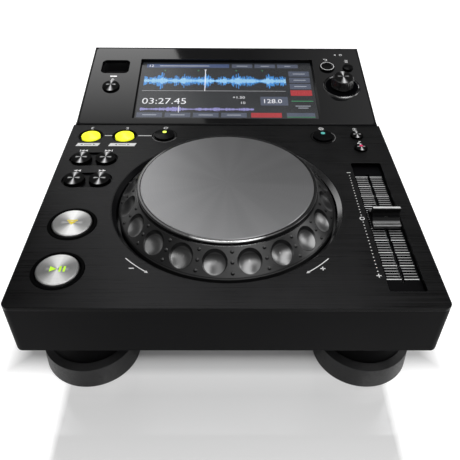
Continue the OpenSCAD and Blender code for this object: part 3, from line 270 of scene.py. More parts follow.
def vector_of(tree, operation, first, second=(0, 0, 0), output="Vector"):
    """Output of a Vector Math node."""
    made = add(tree, "ShaderNodeVectorMath", {0: first, 1: second}, operation=operation)
    return made.outputs[output]


def spread(tree, value, low, high, out_low, out_high):
    """Output of a Map Range node."""
    ranges = {"Value": value, "From Min": low, "From Max": high, "To Min": out_low, "To Max": out_high}
    return add(tree, "ShaderNodeMapRange", ranges).outputs["Result"]


def noise(tree, inputs, **options):
    """Output of a Noise Texture node."""
    return add(tree, "ShaderNodeTexNoise", inputs, **options).outputs["Fac"]


def tinted(tree, shade, value):
    """A colour or vector multiplied by a value."""
    made = add(tree, "ShaderNodeVectorMath", {0: shade, "Scale": value}, operation="SCALE")
    return made.outputs["Vector"]


def axes_of(tree, vector):
    """The three numbers of a vector."""
    return add(tree, "ShaderNodeSeparateXYZ", {"Vector": vector}).outputs


def coordinates(tree, kind="Object"):
    """Place in the piece, or with the kind Generated its share of the piece's box."""
    return tree.nodes.new("ShaderNodeTexCoord").outputs[kind]


def true_normal(tree):
    """Normal of the mesh itself."""
    return tree.nodes.new("ShaderNodeNewGeometry").outputs["Normal"]


def level_arm(tree, place, middle):
    """Level distance of a place from a middle, and the direction to it."""
    arm = vector_of(tree, "SUBTRACT", place, middle)
    level = vector_of(tree, "MULTIPLY", arm, (1, 1, 0))
    return vector_of(tree, "LENGTH", level, output="Value"), vector_of(tree, "NORMALIZE", level)


# Shader groups

MOULDED, BRUSHED, SPUN, CELLS = "Moulded grain", "Brushed lines", "Spun rings", "Display cells"
# The bow tie group paints highlight wedges into a colour; the edges group makes edges paler, partly wear and
# partly painted highlight.
BOW_TIE, EDGES = "Bow tie", "Softened edges"
NUMBER, COLOUR, VECTOR = "NodeSocketFloat", "NodeSocketColor", "NodeSocketVector"
GREY = (0.5, 0.5, 0.5, 1)
DISC_MIDDLE = (0.5, 0.5, 0)


def new_group(title, inputs, outputs):
    """Shader group with its inputs (title, kind, default) and outputs (title, kind)."""
    tree = bpy.data.node_groups.new(title, "ShaderNodeTree")
    for name, kind, default in inputs:
        tree.interface.new_socket(name, in_out="INPUT", socket_type=kind).default_value = default
    for name, kind in outputs:
        tree.interface.new_socket(name, in_out="OUTPUT", socket_type=kind)
    return tree, tree.nodes.new("NodeGroupInput").outputs, tree.nodes.new("NodeGroupOutput").inputs


def surface_group(title):
    """Shader group that turns a colour and roughness into patterned ones with a height."""
    inputs = (
        ("Colour", COLOUR, GREY),
        ("Roughness", NUMBER, 0.4),
        ("Scale", NUMBER, 1000.0),
        ("Amount", NUMBER, 0.2),
    )
    return new_group(title, inputs, (("Colour", COLOUR), ("Roughness", NUMBER), ("Height", NUMBER)))


def close_group(tree, given, wanted, pattern, tone):
    """Links a pattern and a slow change of tone to the outputs of a surface group."""
    rough_share = 0.3
    both = math_of(tree, "ADD", pattern, tone)
    centred = math_of(tree, "SUBTRACT", both, 1.0)
    swing = math_of(tree, "MULTIPLY", centred, given["Amount"])
    tree.links.new(tinted(tree, given["Colour"], math_of(tree, "ADD", swing, 1.0)), wanted["Colour"])
    rougher = math_of(tree, "MULTIPLY", swing, rough_share)
    tree.links.new(math_of(tree, "ADD", given["Roughness"], rougher, clamp=True), wanted["Roughness"])
    tree.links.new(pattern, wanted["Height"])
    return tree


def slow_tone(tree, place):
    """Soft patches about two centimetres across, as dust and handling leave."""
    return noise(tree, {"Vector": place, "Scale": 45.0, "Detail": 3.0})


def moulded_group():
    """Fine grain of a moulded or painted face."""
    tree, given, wanted = surface_group(MOULDED)
    place = coordinates(tree)
    grain = noise(tree, {"Vector": place, "Scale": given["Scale"], "Detail": 2.0})
    return close_group(tree, given, wanted, grain, slow_tone(tree, place))


def brushed_group():
    """Fine straight lines along X, as on a brushed plate."""
    tree, given, wanted = surface_group(BRUSHED)
    place = coordinates(tree)
    stretch = {"Vector": place, "Scale": (0.006, 1.0, 1.0)}
    long = add(tree, "ShaderNodeMapping", stretch).outputs["Vector"]
    fine = noise(tree, {"Vector": long, "Scale": given["Scale"], "Detail": 4.0})
    sharp = spread(tree, fine, 0.3, 0.7, 0.0, 1.0)
    return close_group(tree, given, wanted, sharp, slow_tone(tree, place))


def spun_group():
    """Fine rings about the middle of a turned piece."""
    tree, given, wanted = surface_group(SPUN)
    radius, outwards = level_arm(tree, coordinates(tree, "Generated"), DISC_MIDDLE)
    rings = noise(tree, {"W": radius, "Scale": given["Scale"], "Detail": 3.0}, noise_dimensions="1D")
    streaks = noise(tree, {"Vector": outwards, "Scale": 3.0, "Detail": 2.0})
    return close_group(tree, given, wanted, rings, streaks)


def bow_tie_group():
    """Factor with two bright wedges through the middle of a spun disc and a shorter bar across them: a painted
    highlight that multiplies the colour.
    """
    bar_sharpness = 50.0
    bar_end = (0.2, 0.26)
    top_band = (0.8, 0.9)
    inputs = [(title, NUMBER, 0.0) for title in ("Ground", "Sharpness", "Bar", "Sides")]
    tree, given, wanted = new_group(BOW_TIE, inputs, [("Factor", NUMBER)])
    radius, outwards = level_arm(tree, coordinates(tree, "Generated"), DISC_MIDDLE)
    axes = axes_of(tree, outwards)
    wedge = math_of(tree, "POWER", math_of(tree, "ABSOLUTE", axes["Y"]), given["Sharpness"])
    across = math_of(tree, "POWER", math_of(tree, "ABSOLUTE", axes["X"]), bar_sharpness)
    bar = math_of(tree, "MULTIPLY", across, given["Bar"])
    short = math_of(tree, "MULTIPLY", bar, spread(tree, radius, *bar_end, 1.0, 0.0))
    upright = axes_of(tree, true_normal(tree))["Z"]
    top = math_of(tree, "MAXIMUM", spread(tree, upright, *top_band, 0.0, 1.0), given["Sides"])
    both = math_of(tree, "MULTIPLY", math_of(tree, "MAXIMUM", wedge, short), top)
    tree.links.new(spread(tree, both, 0.0, 1.0, given["Ground"], 1.0), wanted["Factor"])
    return tree


def pixel_group():
    """Grid of a flat display: thin dark lines between cells."""
    tree, given, wanted = surface_group(CELLS)
    place = coordinates(tree)
    sizes = {"Scale": given["Scale"], "Mortar Size": 0.04, "Brick Width": 0.5, "Row Height": 0.5}
    gaps = add(tree, "ShaderNodeTexBrick", {"Vector": place, **sizes}, offset=0.0).outputs["Fac"]
    lit = math_of(tree, "SUBTRACT", 1.0, gaps)
    return close_group(tree, given, wanted, lit, slow_tone(tree, place))


def edge_group():
    """Softened edges of a solid, paler in colour: partly wear, partly a painted highlight."""
    inputs = (("Colour", COLOUR, GREY), ("Radius", NUMBER, 0.0003), ("Wear", NUMBER, 1.0))
    tree, given, wanted = new_group(EDGES, inputs, (("Colour", COLOUR), ("Normal", VECTOR)))
    soft = add(tree, "ShaderNodeBevel", {"Radius": given["Radius"]}, samples=4).outputs["Normal"]
    turned = vector_of(tree, "DOT_PRODUCT", soft, true_normal(tree), "Value")
    worn = math_of(tree, "MULTIPLY", spread(tree, turned, 1.0, 0.7, 0.0, 1.0), given["Wear"])
    tree.links.new(tinted(tree, given["Colour"], math_of(tree, "ADD", worn, 1.0)), wanted["Colour"])
    tree.links.new(soft, wanted["Normal"])
    return tree


GROUPS = {
    MOULDED: moulded_group,
    BRUSHED: brushed_group,
    SPUN: spun_group,
    CELLS: pixel_group,
    BOW_TIE: bow_tie_group,
    EDGES: edge_group,
}


def from_group(tree, title, inputs):
    """Outputs of a shader group, which is built the first time it is asked for."""
    made = bpy.data.node_groups.get(title) or GROUPS[title]()
    return add(tree, "ShaderNodeGroup", inputs, node_tree=made).outputs


# Materials

BUMP_DEPTH = 0.0001
# Bands in which a direction passes to straight ahead, and a face to one that lies flat
AHEAD_BAND = (-0.98, -0.85)
FLAT_BAND = (0.9, 0.97)


def opened(made):
    """Tree of a material and the inputs of its Principled shader."""
    return made.node_tree, made.node_tree.nodes[PRINCIPLED].inputs


def new_material(name):
    """Material with its tree and the inputs of its Principled shader."""
    made = bpy.data.materials.new(name)
    made.use_nodes = True
    return made, *opened(made)


def fed_by(socket):
    """What an input is linked to."""
    return socket.links[0].from_socket


def rgba(tone):
    """Four numbers for a colour socket."""
    return (*tone, 1.0)


def finish(
    name, title, tone, rough, scale, amount,
    bump=0.0, edge=0.0, wear=1.0, glow=0.0, gloss=0.5, metal=0.0, ior=None,
):
    """Material with a surface group's colour and roughness, and bumps, softened edges with paler colour (wear
    and painted highlight) or its own light.
    """
    made, tree, shader = new_material(name)
    inputs = {"Colour": rgba(tone), "Roughness": rough, "Scale": scale, "Amount": amount}
    pattern = from_group(tree, title, inputs)
    shade, normal = pattern["Colour"], None
    if edge:
        rounded = from_group(tree, EDGES, {"Radius": edge, "Wear": wear, "Colour": shade})
        shade, normal = rounded["Colour"], rounded["Normal"]
    if bump:
        relief = {"Strength": bump, "Distance": BUMP_DEPTH, "Height": pattern["Height"]}
        if normal:
            relief["Normal"] = normal
        normal = add(tree, "ShaderNodeBump", relief).outputs["Normal"]
    if normal:
        tree.links.new(normal, shader["Normal"])
    tree.links.new(shade, shader["Base Color"])
    tree.links.new(pattern["Roughness"], shader["Roughness"])
    if glow:
        tree.links.new(shade, shader["Emission Color"])
        shader["Emission Strength"].default_value = glow
    shader[GLOSS].default_value = gloss
    shader["Metallic"].default_value = metal
    if ior:
        shader["IOR"].default_value = ior
    return made


def grooved(made, stretch, axis="Z"):
    """Stretches highlights across the grooves of a turned piece, or of a plate brushed along its axis."""
    tree, shader = opened(made)
    tangent = add(tree, "ShaderNodeTangent", direction_type="RADIAL", axis=axis)
    tree.links.new(tangent.outputs["Tangent"], shader["Tangent"])
    shader["Anisotropic"].default_value = stretch
    shader["Anisotropic Rotation"].default_value = QUARTER_TURN if axis == "Z" else 0.0
    return made


def bow_tie(made, ground, sharp, bar=0.0, sides=0.0):
    """Painted highlight: bright wedges painted into the colour through the middle of a spun disc, over a
    darker ground, and down its sides or not.
    """
    tree, shader = opened(made)
    inputs = {"Ground": ground, "Sharpness": sharp, "Bar": bar, "Sides": sides}
    bright = from_group(tree, BOW_TIE, inputs)["Factor"]
    tree.links.new(tinted(tree, fed_by(shader["Base Color"]), bright), shader["Base Color"])
    return made


def leaned_up(made, share):
    """Leans the shaded normals upwards, as on a face that is a little hollow."""
    tree, shader = opened(made)
    leaned = vector_of(tree, "ADD", true_normal(tree), (0, 0, share))
    tree.links.new(vector_of(tree, "NORMALIZE", leaned), shader["Normal"])
    return made


def bearing(tree, node):
    """Distance from a node's upright axis, and the direction from it as the node lies after a turn."""
    out, away = level_arm(tree, coordinates(tree), centre_of(node))
    spaces = {"vector_type": "VECTOR", "convert_from": "OBJECT", "convert_to": "WORLD"}
    return out, add(tree, "ShaderNodeVectorTransform", {"Vector": away}, **spaces).outputs["Vector"]


def glint_ahead(made, node, share):
    """Raises the gloss of a turned node in front of its axis."""
    tree, shader = opened(made)
    away = axes_of(tree, bearing(tree, node)[1])
    strong = spread(tree, away["Y"], *AHEAD_BAND, share, 1.0)
    tree.links.new(math_of(tree, "MULTIPLY", fed_by(shader[GLOSS]), strong), shader[GLOSS])
    return made


def dull_flat(made, up, share):
    """Lowers the gloss of the faces that look along a direction to a share of it."""
    tree, shader = opened(made)
    along_up = vector_of(tree, "DOT_PRODUCT", fed_by(shader["Normal"]), up, "Value")
    full = shader[GLOSS].default_value
    tree.links.new(spread(tree, along_up, *FLAT_BAND, full, share * full), shader[GLOSS])
    return made


def glossy_right(made, low, high, share):
    """Lowers the gloss of a piece to a share of it to the left of a band."""
    tree, shader = opened(made)
    full = shader[GLOSS].default_value
    across = axes_of(tree, coordinates(tree))["X"]
    tree.links.new(spread(tree, across, low, high, share * full, full), shader[GLOSS])
    return made


def dress(made, *names):
    """Gives CAD nodes a material."""
    for name in names:
        for slot in NODES[name].material_slots:
            slot.material = made


# Mesh building


class Marks:
    """Flat marks in millimetres on a plane, gathered as thin closed plates in one mesh."""

    def __init__(self, thick, base=-0.01):
        """Starts an empty mesh; plates reach from the base up by the thickness."""
        self.mesh = bmesh.new()
        self.base = base
        self.top = base + thick

    def plate(self, outline):
        """Plate with a straight-sided outline, given counter-clockwise."""
        low = [self.mesh.verts.new((x, y, self.base)) for x, y in outline]
        high = [self.mesh.verts.new((x, y, self.top)) for x, y in outline]
        self.mesh.faces.new(list(reversed(low)))
        self.mesh.faces.new(high)
        for i in range(len(outline)):
            j = (i + 1) % len(outline)
            self.mesh.faces.new((low[i], low[j], high[j], high[i]))
        return self

    def bar(self, x, y, width, height, slant=0.0):
        """Bar about a centre; slant leans its ends."""
        left, right = x - width / 2, x + width / 2
        low, high = y - height / 2, y + height / 2
        lower = [(left - slant, low), (right - slant, low)]
        return self.plate([*lower, (right + slant, high), (left + slant, high)])

    def spot(self, x, y, radius, sides=20):
        """Round plate."""
        steps = [FULL_TURN * i / sides for i in range(sides)]
        return self.plate([(x + radius * math.cos(a), y + radius * math.sin(a)) for a in steps])

    def arrow(self, x, y, size, angle=0.0, length_share=1.0):
        """Triangle that points along an angle in degrees."""
        turn = math.radians(angle)
        half = size * length_share / 2
        corners = [(-half, -size / 2), (half, 0), (-half, size / 2)]
        return self.plate(
            [
                (x + u * math.cos(turn) - v * math.sin(turn), y + u * math.sin(turn) + v * math.cos(turn))
                for u, v in corners
            ]
        )

    def arc(self, x, y, radius, width, start=0.0, stop=360.0, sides=40):
        """Ring, or part of one between two angles in degrees."""
        closed = abs(stop - start) >= 360
        count = sides if closed else sides + 1
        sections = []
        for i in range(count):
            a = math.radians(start + (stop - start) * i / sides)
            corners = [(radius - width / 2, self.base), (radius + width / 2, self.base)]
            corners += [(radius + width / 2, self.top), (radius - width / 2, self.top)]
            places = [(x + r * math.cos(a), y + r * math.sin(a), z) for r, z in corners]
            sections.append([self.mesh.verts.new(place) for place in places])
        for i in range(sides):
            here, there = sections[i], sections[(i + 1) % count]
            for k in range(4):
                m = (k + 1) % 4
                self.mesh.faces.new((here[k], here[m], there[m], there[k]))
        if not closed:
            self.mesh.faces.new(sections[0])
            self.mesh.faces.new(list(reversed(sections[-1])))
        return self

    def piece(self, name, plane, made, body, slot):
        """Turns the marks into a piece that rides on a body."""
        bmesh.ops.recalc_face_normals(self.mesh, faces=self.mesh.faces)
        data = bpy.data.meshes.new(name)
        self.mesh.to_mesh(data)
        self.mesh.free()
        return seated(name, data, plane, made, body)


def seated(name, data, plane, made, body):
    """Object from a mesh in plane millimetres, placed in the frame and riding on a body."""
    data.transform(plane)
    data.materials.clear()
    data.materials.append(made)
    piece = bpy.data.objects.new(name, data)
    bpy.context.scene.collection.objects.link(piece)
    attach(piece, body)
    return piece


def plain_mesh(source):
    """Plain mesh of an evaluated object, which is then removed."""
    bpy.context.scene.collection.objects.link(source)
    bpy.context.view_layer.update()
    evaluated = source.evaluated_get(bpy.context.evaluated_depsgraph_get())
    data = bpy.data.meshes.new_from_object(evaluated)
    bpy.data.objects.remove(source)
    return data


def numerals(name, words, size, x, y, plane, made, body, thick):
    """Plain digits as a thin solid."""
    text = bpy.data.curves.new(name, "FONT")
    text.body = words
    text.size = size
    text.extrude = thick / 2
    text.resolution_u = 3
    data = plain_mesh(bpy.data.objects.new(name + "_text", text))
    data.transform(Matrix.Translation((x, y, thick / 2)))
    return seated(name, data, plane, made, body)


# Geometry Nodes trees for what repeats


INT = "NodeSocketInt"


def nodes_tree(name, inputs):
    """Geometry Nodes tree with named inputs, a material and one geometry output."""
    tree = bpy.data.node_groups.new(name, "GeometryNodeTree")
    tree.interface.new_socket("Geometry", in_out="INPUT", socket_type="NodeSocketGeometry")
    for title, kind in inputs.items():
        tree.interface.new_socket(title, in_out="INPUT", socket_type=kind)
    tree.interface.new_socket("Material", in_out="INPUT", socket_type="NodeSocketMaterial")
    tree.interface.new_socket("Geometry", in_out="OUTPUT", socket_type="NodeSocketGeometry")
    return tree, tree.nodes.new("NodeGroupInput").outputs, tree.nodes.new("NodeGroupOutput").inputs


def end_tree(tree, given, wanted, instances):
    """Ends a tree in plain geometry with its material."""
    real = add(tree, "GeometryNodeRealizeInstances", {"Geometry": instances}).outputs[0]
    coat = {"Geometry": real, "Material": given["Material"]}
    tree.links.new(add(tree, "GeometryNodeSetMaterial", coat).outputs[0], wanted["Geometry"])
    return tree


def line_of(tree, count, offset):
    """Points in a straight row."""
    return add(tree, "GeometryNodeMeshLine", {"Count": count, "Offset": offset}).outputs["Mesh"]


def vector_from(tree, x=0.0, y=0.0, z=0.0):
    """Vector from its three numbers."""
    return add(tree, "ShaderNodeCombineXYZ", {"X": x, "Y": y, "Z": z}).outputs["Vector"]


def block_of(tree, size):
    """Block about the middle."""
    return add(tree, "GeometryNodeMeshCube", {"Size": size}).outputs["Mesh"]


def copies(tree, points, shape, scale=(1, 1, 1)):
    """A shape on each of some points."""
    inputs = {"Points": points, "Instance": shape, "Scale": scale}
    return add(tree, "GeometryNodeInstanceOnPoints", inputs).outputs["Instances"]


def block_rows():
    """Columns and rows of equal blocks."""
    counts = {"Columns": INT, "Rows": INT}
    pitches = {"Column Pitch": NUMBER, "Row Pitch": NUMBER}
    tree, given, wanted = nodes_tree("Rows of blocks", {**counts, **pitches, "Block": VECTOR})
    column = line_of(tree, given["Rows"], vector_from(tree, y=given["Row Pitch"]))
    filled = copies(tree, column, block_of(tree, given["Block"]))
    across = line_of(tree, given["Columns"], vector_from(tree, x=given["Column Pitch"]))
    return end_tree(tree, given, wanted, copies(tree, across, filled))


def dot_row():
    """Row of round dots."""
    inputs = {"Count": INT, "Pitch": NUMBER, "Radius": NUMBER, "Thickness": NUMBER}
    tree, given, wanted = nodes_tree("Row of dots", inputs)
    shape = {"Vertices": 12, "Radius": given["Radius"], "Depth": given["Thickness"]}
    dot = add(tree, "GeometryNodeMeshCylinder", shape).outputs["Mesh"]
    row = line_of(tree, given["Count"], vector_from(tree, y=given["Pitch"]))
    return end_tree(tree, given, wanted, copies(tree, row, dot))


def wave_row():
    """Row of bars whose heights follow a noise, like the picture of a sound."""
    sizes = {"Pitch": NUMBER, "Height": NUMBER, "Thickness": NUMBER, "Swell": NUMBER}
    tree, given, wanted = nodes_tree("Row of wave bars", {"Count": INT, **sizes, "Seed": INT})
    bar = block_of(tree, vector_from(tree, given["Pitch"], 1.0, given["Thickness"]))
    row = line_of(tree, given["Count"], vector_from(tree, x=given["Pitch"]))
    where = tree.nodes.new("GeometryNodeInputPosition").outputs["Position"]
    swell = noise(tree, {"Vector": where, "Scale": given["Swell"], "Detail": 1.0})
    shares = {"Min": 0.35, "Max": 1.0, "Seed": given["Seed"]}
    jitter = add(tree, "FunctionNodeRandomValue", shares, data_type="FLOAT").outputs["Value"]
    loud = spread(tree, swell, 0.3, 0.7, 0.12, 1.0)
    tall = math_of(tree, "MULTIPLY", math_of(tree, "MULTIPLY", loud, jitter), given["Height"])
    return end_tree(tree, given, wanted, copies(tree, row, bar, vector_from(tree, 1.0, tall, 1.0)))


def screw_slots():
    """Crossed blocks on the points of a mesh, for the painted shade of screw slots."""
    tree, given, wanted = nodes_tree("Crossed slots", {"Long": VECTOR, "Wide": VECTOR})
    cross = tree.nodes.new("GeometryNodeJoinGeometry")
    for title in ("Long", "Wide"):
        tree.links.new(block_of(tree, given[title]), cross.inputs[0])
    return end_tree(tree, given, wanted, copies(tree, given["Geometry"], cross.outputs[0]))


def grown(name, make, values, points=()):
    """Plain mesh that a Geometry Nodes tree makes from its named inputs."""
    tree = make()
    data = bpy.data.meshes.new(name)
    data.from_pydata(list(points), [], [])
    source = bpy.data.objects.new(name + "_rule", data)
    modifier = source.modifiers.new("Rule", "NODES")
    modifier.node_group = tree
    for item in tree.interface.items_tree:
        if item.in_out == "INPUT" and item.name in values:
            modifier[item.identifier] = values[item.name]
    return plain_mesh(source)


# Pieces


class PLAYER_OT_case(Operator):
    """Finishes the case, deck, display housing, base and feet"""

    bl_idname = "player.case"
    bl_label = "Case, deck and feet"

    # Slots of the base screws in metres, and the most that a screw's rim measures
    SLOT_LONG, SLOT_WIDE, SLOT_THICK = 3.4 * MM, 0.7 * MM, 0.06 * MM
    HEAD_REACH = 7 * MM

    def execute(self, context):
        """Dresses the CAD nodes of the shell."""
        tones = context.scene.player_case
        shell = finish(
            "Moulded case", MOULDED, tones.case, 0.5, 5000, 0.25, bump=0.12, edge=tones.edge, gloss=0.05
        )
        dress(shell, "main_case", "display_housing")
        dress(self.deck_metal(tones), "deck_panel")
        steel = finish("Brushed steel", BRUSHED, tones.steel, 0.38, 900, 0.3, bump=0.1, metal=1.0)
        dress(steel, "bottom_plate", "fader_body", "selector_encoder", "lcd_module")
        screw = finish("Screw steel", MOULDED, tones.steel, 0.3, 3000, 0.3, bump=0.08, metal=1.0)
        dress(screw, "base_screws", "foot_screws")
        rubber = finish(
            "Foot rubber", MOULDED, tones.rubber, 0.42, 700, 1.2, bump=0.6, edge=0.0006, gloss=0.24
        )
        dress(rubber, "front_left_foot", "front_right_foot", "rear_left_foot", "rear_right_foot")
        neck = finish("Neck plastic", MOULDED, (0.0015, 0.0015, 0.0017), 0.6, 4000, 0.25, gloss=0.03)
        dress(neck, "foot_posts")
        self.screw_crosses()
        return {"FINISHED"}

    def deck_metal(self, tones):
        """Brushed top; the colour falls to a quarter on faces that do not look up."""
        made = finish(
            "Brushed deck", BRUSHED, tones.deck, 0.33, 2600, 0.5,
            bump=0.12, edge=tones.edge, wear=0.6, gloss=0.3, metal=1.0,
        )
        tree, shader = opened(made)
        top = spread(tree, axes_of(tree, true_normal(tree))["Z"], 0.4, 0.9, 0.25, 1.0)
        tree.links.new(tinted(tree, fed_by(shader["Base Color"]), top), shader["Base Color"])
        return grooved(made, 0.6, axis="X")

    def screw_crosses(self):
        """Dark crosses on the heads of the base screws: painted shade of their slots."""
        heads = NODES["base_screws"].data.vertices
        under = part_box("base_screws")[0].z
        rim = [vertex.co for vertex in heads if vertex.co.z < under + 0.05 * MM]
        places = []
        for point in rim:
            near = [p for p in rim if (p - point).length < self.HEAD_REACH]
            middle = sum(near, Vector()) / len(near)
            if all((middle - other).length > MM for other in places):
                places.append(middle)
        dark = finish("Slot shade", MOULDED, (0.01, 0.01, 0.01), 0.6, 3000, 0.3)
        along_x = (self.SLOT_LONG, self.SLOT_WIDE, self.SLOT_THICK)
        along_y = (self.SLOT_WIDE, self.SLOT_LONG, self.SLOT_THICK)
        sizes = {"Long": along_x, "Wide": along_y, "Material": dark}
        data = grown("base_screw_slots", screw_slots, sizes, points=[tuple(p) for p in places])
        seated("base_screw_slots", data, Matrix.Identity(4), dark, "chassis")


class PLAYER_OT_display(Operator):
    """Finishes the glossy display panel, its glass and the USB well"""

    bl_idname = "player.display"
    bl_label = "Display panel"

    def execute(self, context):
        """Dresses the panel and adds its printed marks and lamps."""
        scene = context.scene
        tones, ink = scene.player_case, scene.player_print
        gloss = finish(
            "Gloss panel", MOULDED, tones.gloss, 0.06, 900, 0.15, bump=0.004, edge=0.0002, gloss=0.5
        )
        dress(gloss, "display_panel")
        glass = finish("Screen glass", MOULDED, (0.004, 0.0045, 0.005), 0.05, 700, 0.1, gloss=0.5)
        dress(glass, "screen_glass")
        socket = finish("Socket plastic", MOULDED, (0.01, 0.01, 0.011), 0.45, 4000, 0.3, bump=0.1)
        dress(socket, "usb_well")
        nickel = finish("Socket nickel", BRUSHED, tones.nickel, 0.28, 1500, 0.2, bump=0.05, metal=1.0)
        dress(nickel, "usb_socket")
        white = finish("White lamp", MOULDED, (0.85, 0.85, 0.85), 0.4, 2500, 0.15, glow=0.6)
        # The panel print gets a faint glow of its own, painted light: print is no lamp.
        print_white = finish("Panel print", MOULDED, ink.ink, 0.5, 2500, 0.15, glow=0.12)
        self.well_lamp(ink, white)
        self.panel_marks(ink, print_white)
        self.back_ring(print_white)
        return {"FINISHED"}

    def back_ring(self, white):
        """Bright ring near the rim of the back button."""
        at = place_on(PANEL_PLANE, "back_button")
        radius = 5.4
        height = surface_height(PANEL_PLANE, "back_button", at.x + radius, at.y)
        ring = Marks(0.12, base=height - 0.06).arc(at.x, at.y, radius, 0.45)
        ring.piece("back_ring", PANEL_PLANE, white, "back_button", "key_black")

    def well_lamp(self, ink, white):
        """Short white lamp below the USB well."""
        at = place_on(PANEL_PLANE, "usb_well")
        Marks(ink.thick * 3).bar(at.x, at.y - 13.6, 5.6, 1.3).piece(
            "well_lamp", PANEL_PLANE, white, "chassis", "panel_gloss"
        )

    def panel_marks(self, ink, white):
        """Eject, return, list and standby signs."""
        back, stop, tag = places_on(PANEL_PLANE, "back_button", "usb_stop_button", "tag_track_button")
        marks = Marks(ink.thick)
        marks.arrow(stop.x, stop.y + 10.6, 2.6, 90, 0.6).bar(stop.x, stop.y + 9.1, 2.6, 0.6)
        marks.arc(back.x - 0.2, back.y + 11.0, 1.3, 0.5, -120, 110, 16)
        marks.arrow(back.x - 1.6, back.y + 12.1, 1.5, 180, 0.8)
        for rise in (8.4, 9.9, 11.4):
            marks.bar(tag.x, tag.y + rise, 2.6, 0.55)
        marks.spot(tag.x - 8.5, tag.y + 19.2, 0.8, 14)
        marks.arc(tag.x - 3.6, tag.y + 19.2, 1.1, 0.4, 120, 420, 18).bar(tag.x - 3.6, tag.y + 20.2, 0.4, 1.3)
        marks.piece("panel_marks", PANEL_PLANE, white, "chassis", "panel_gloss")


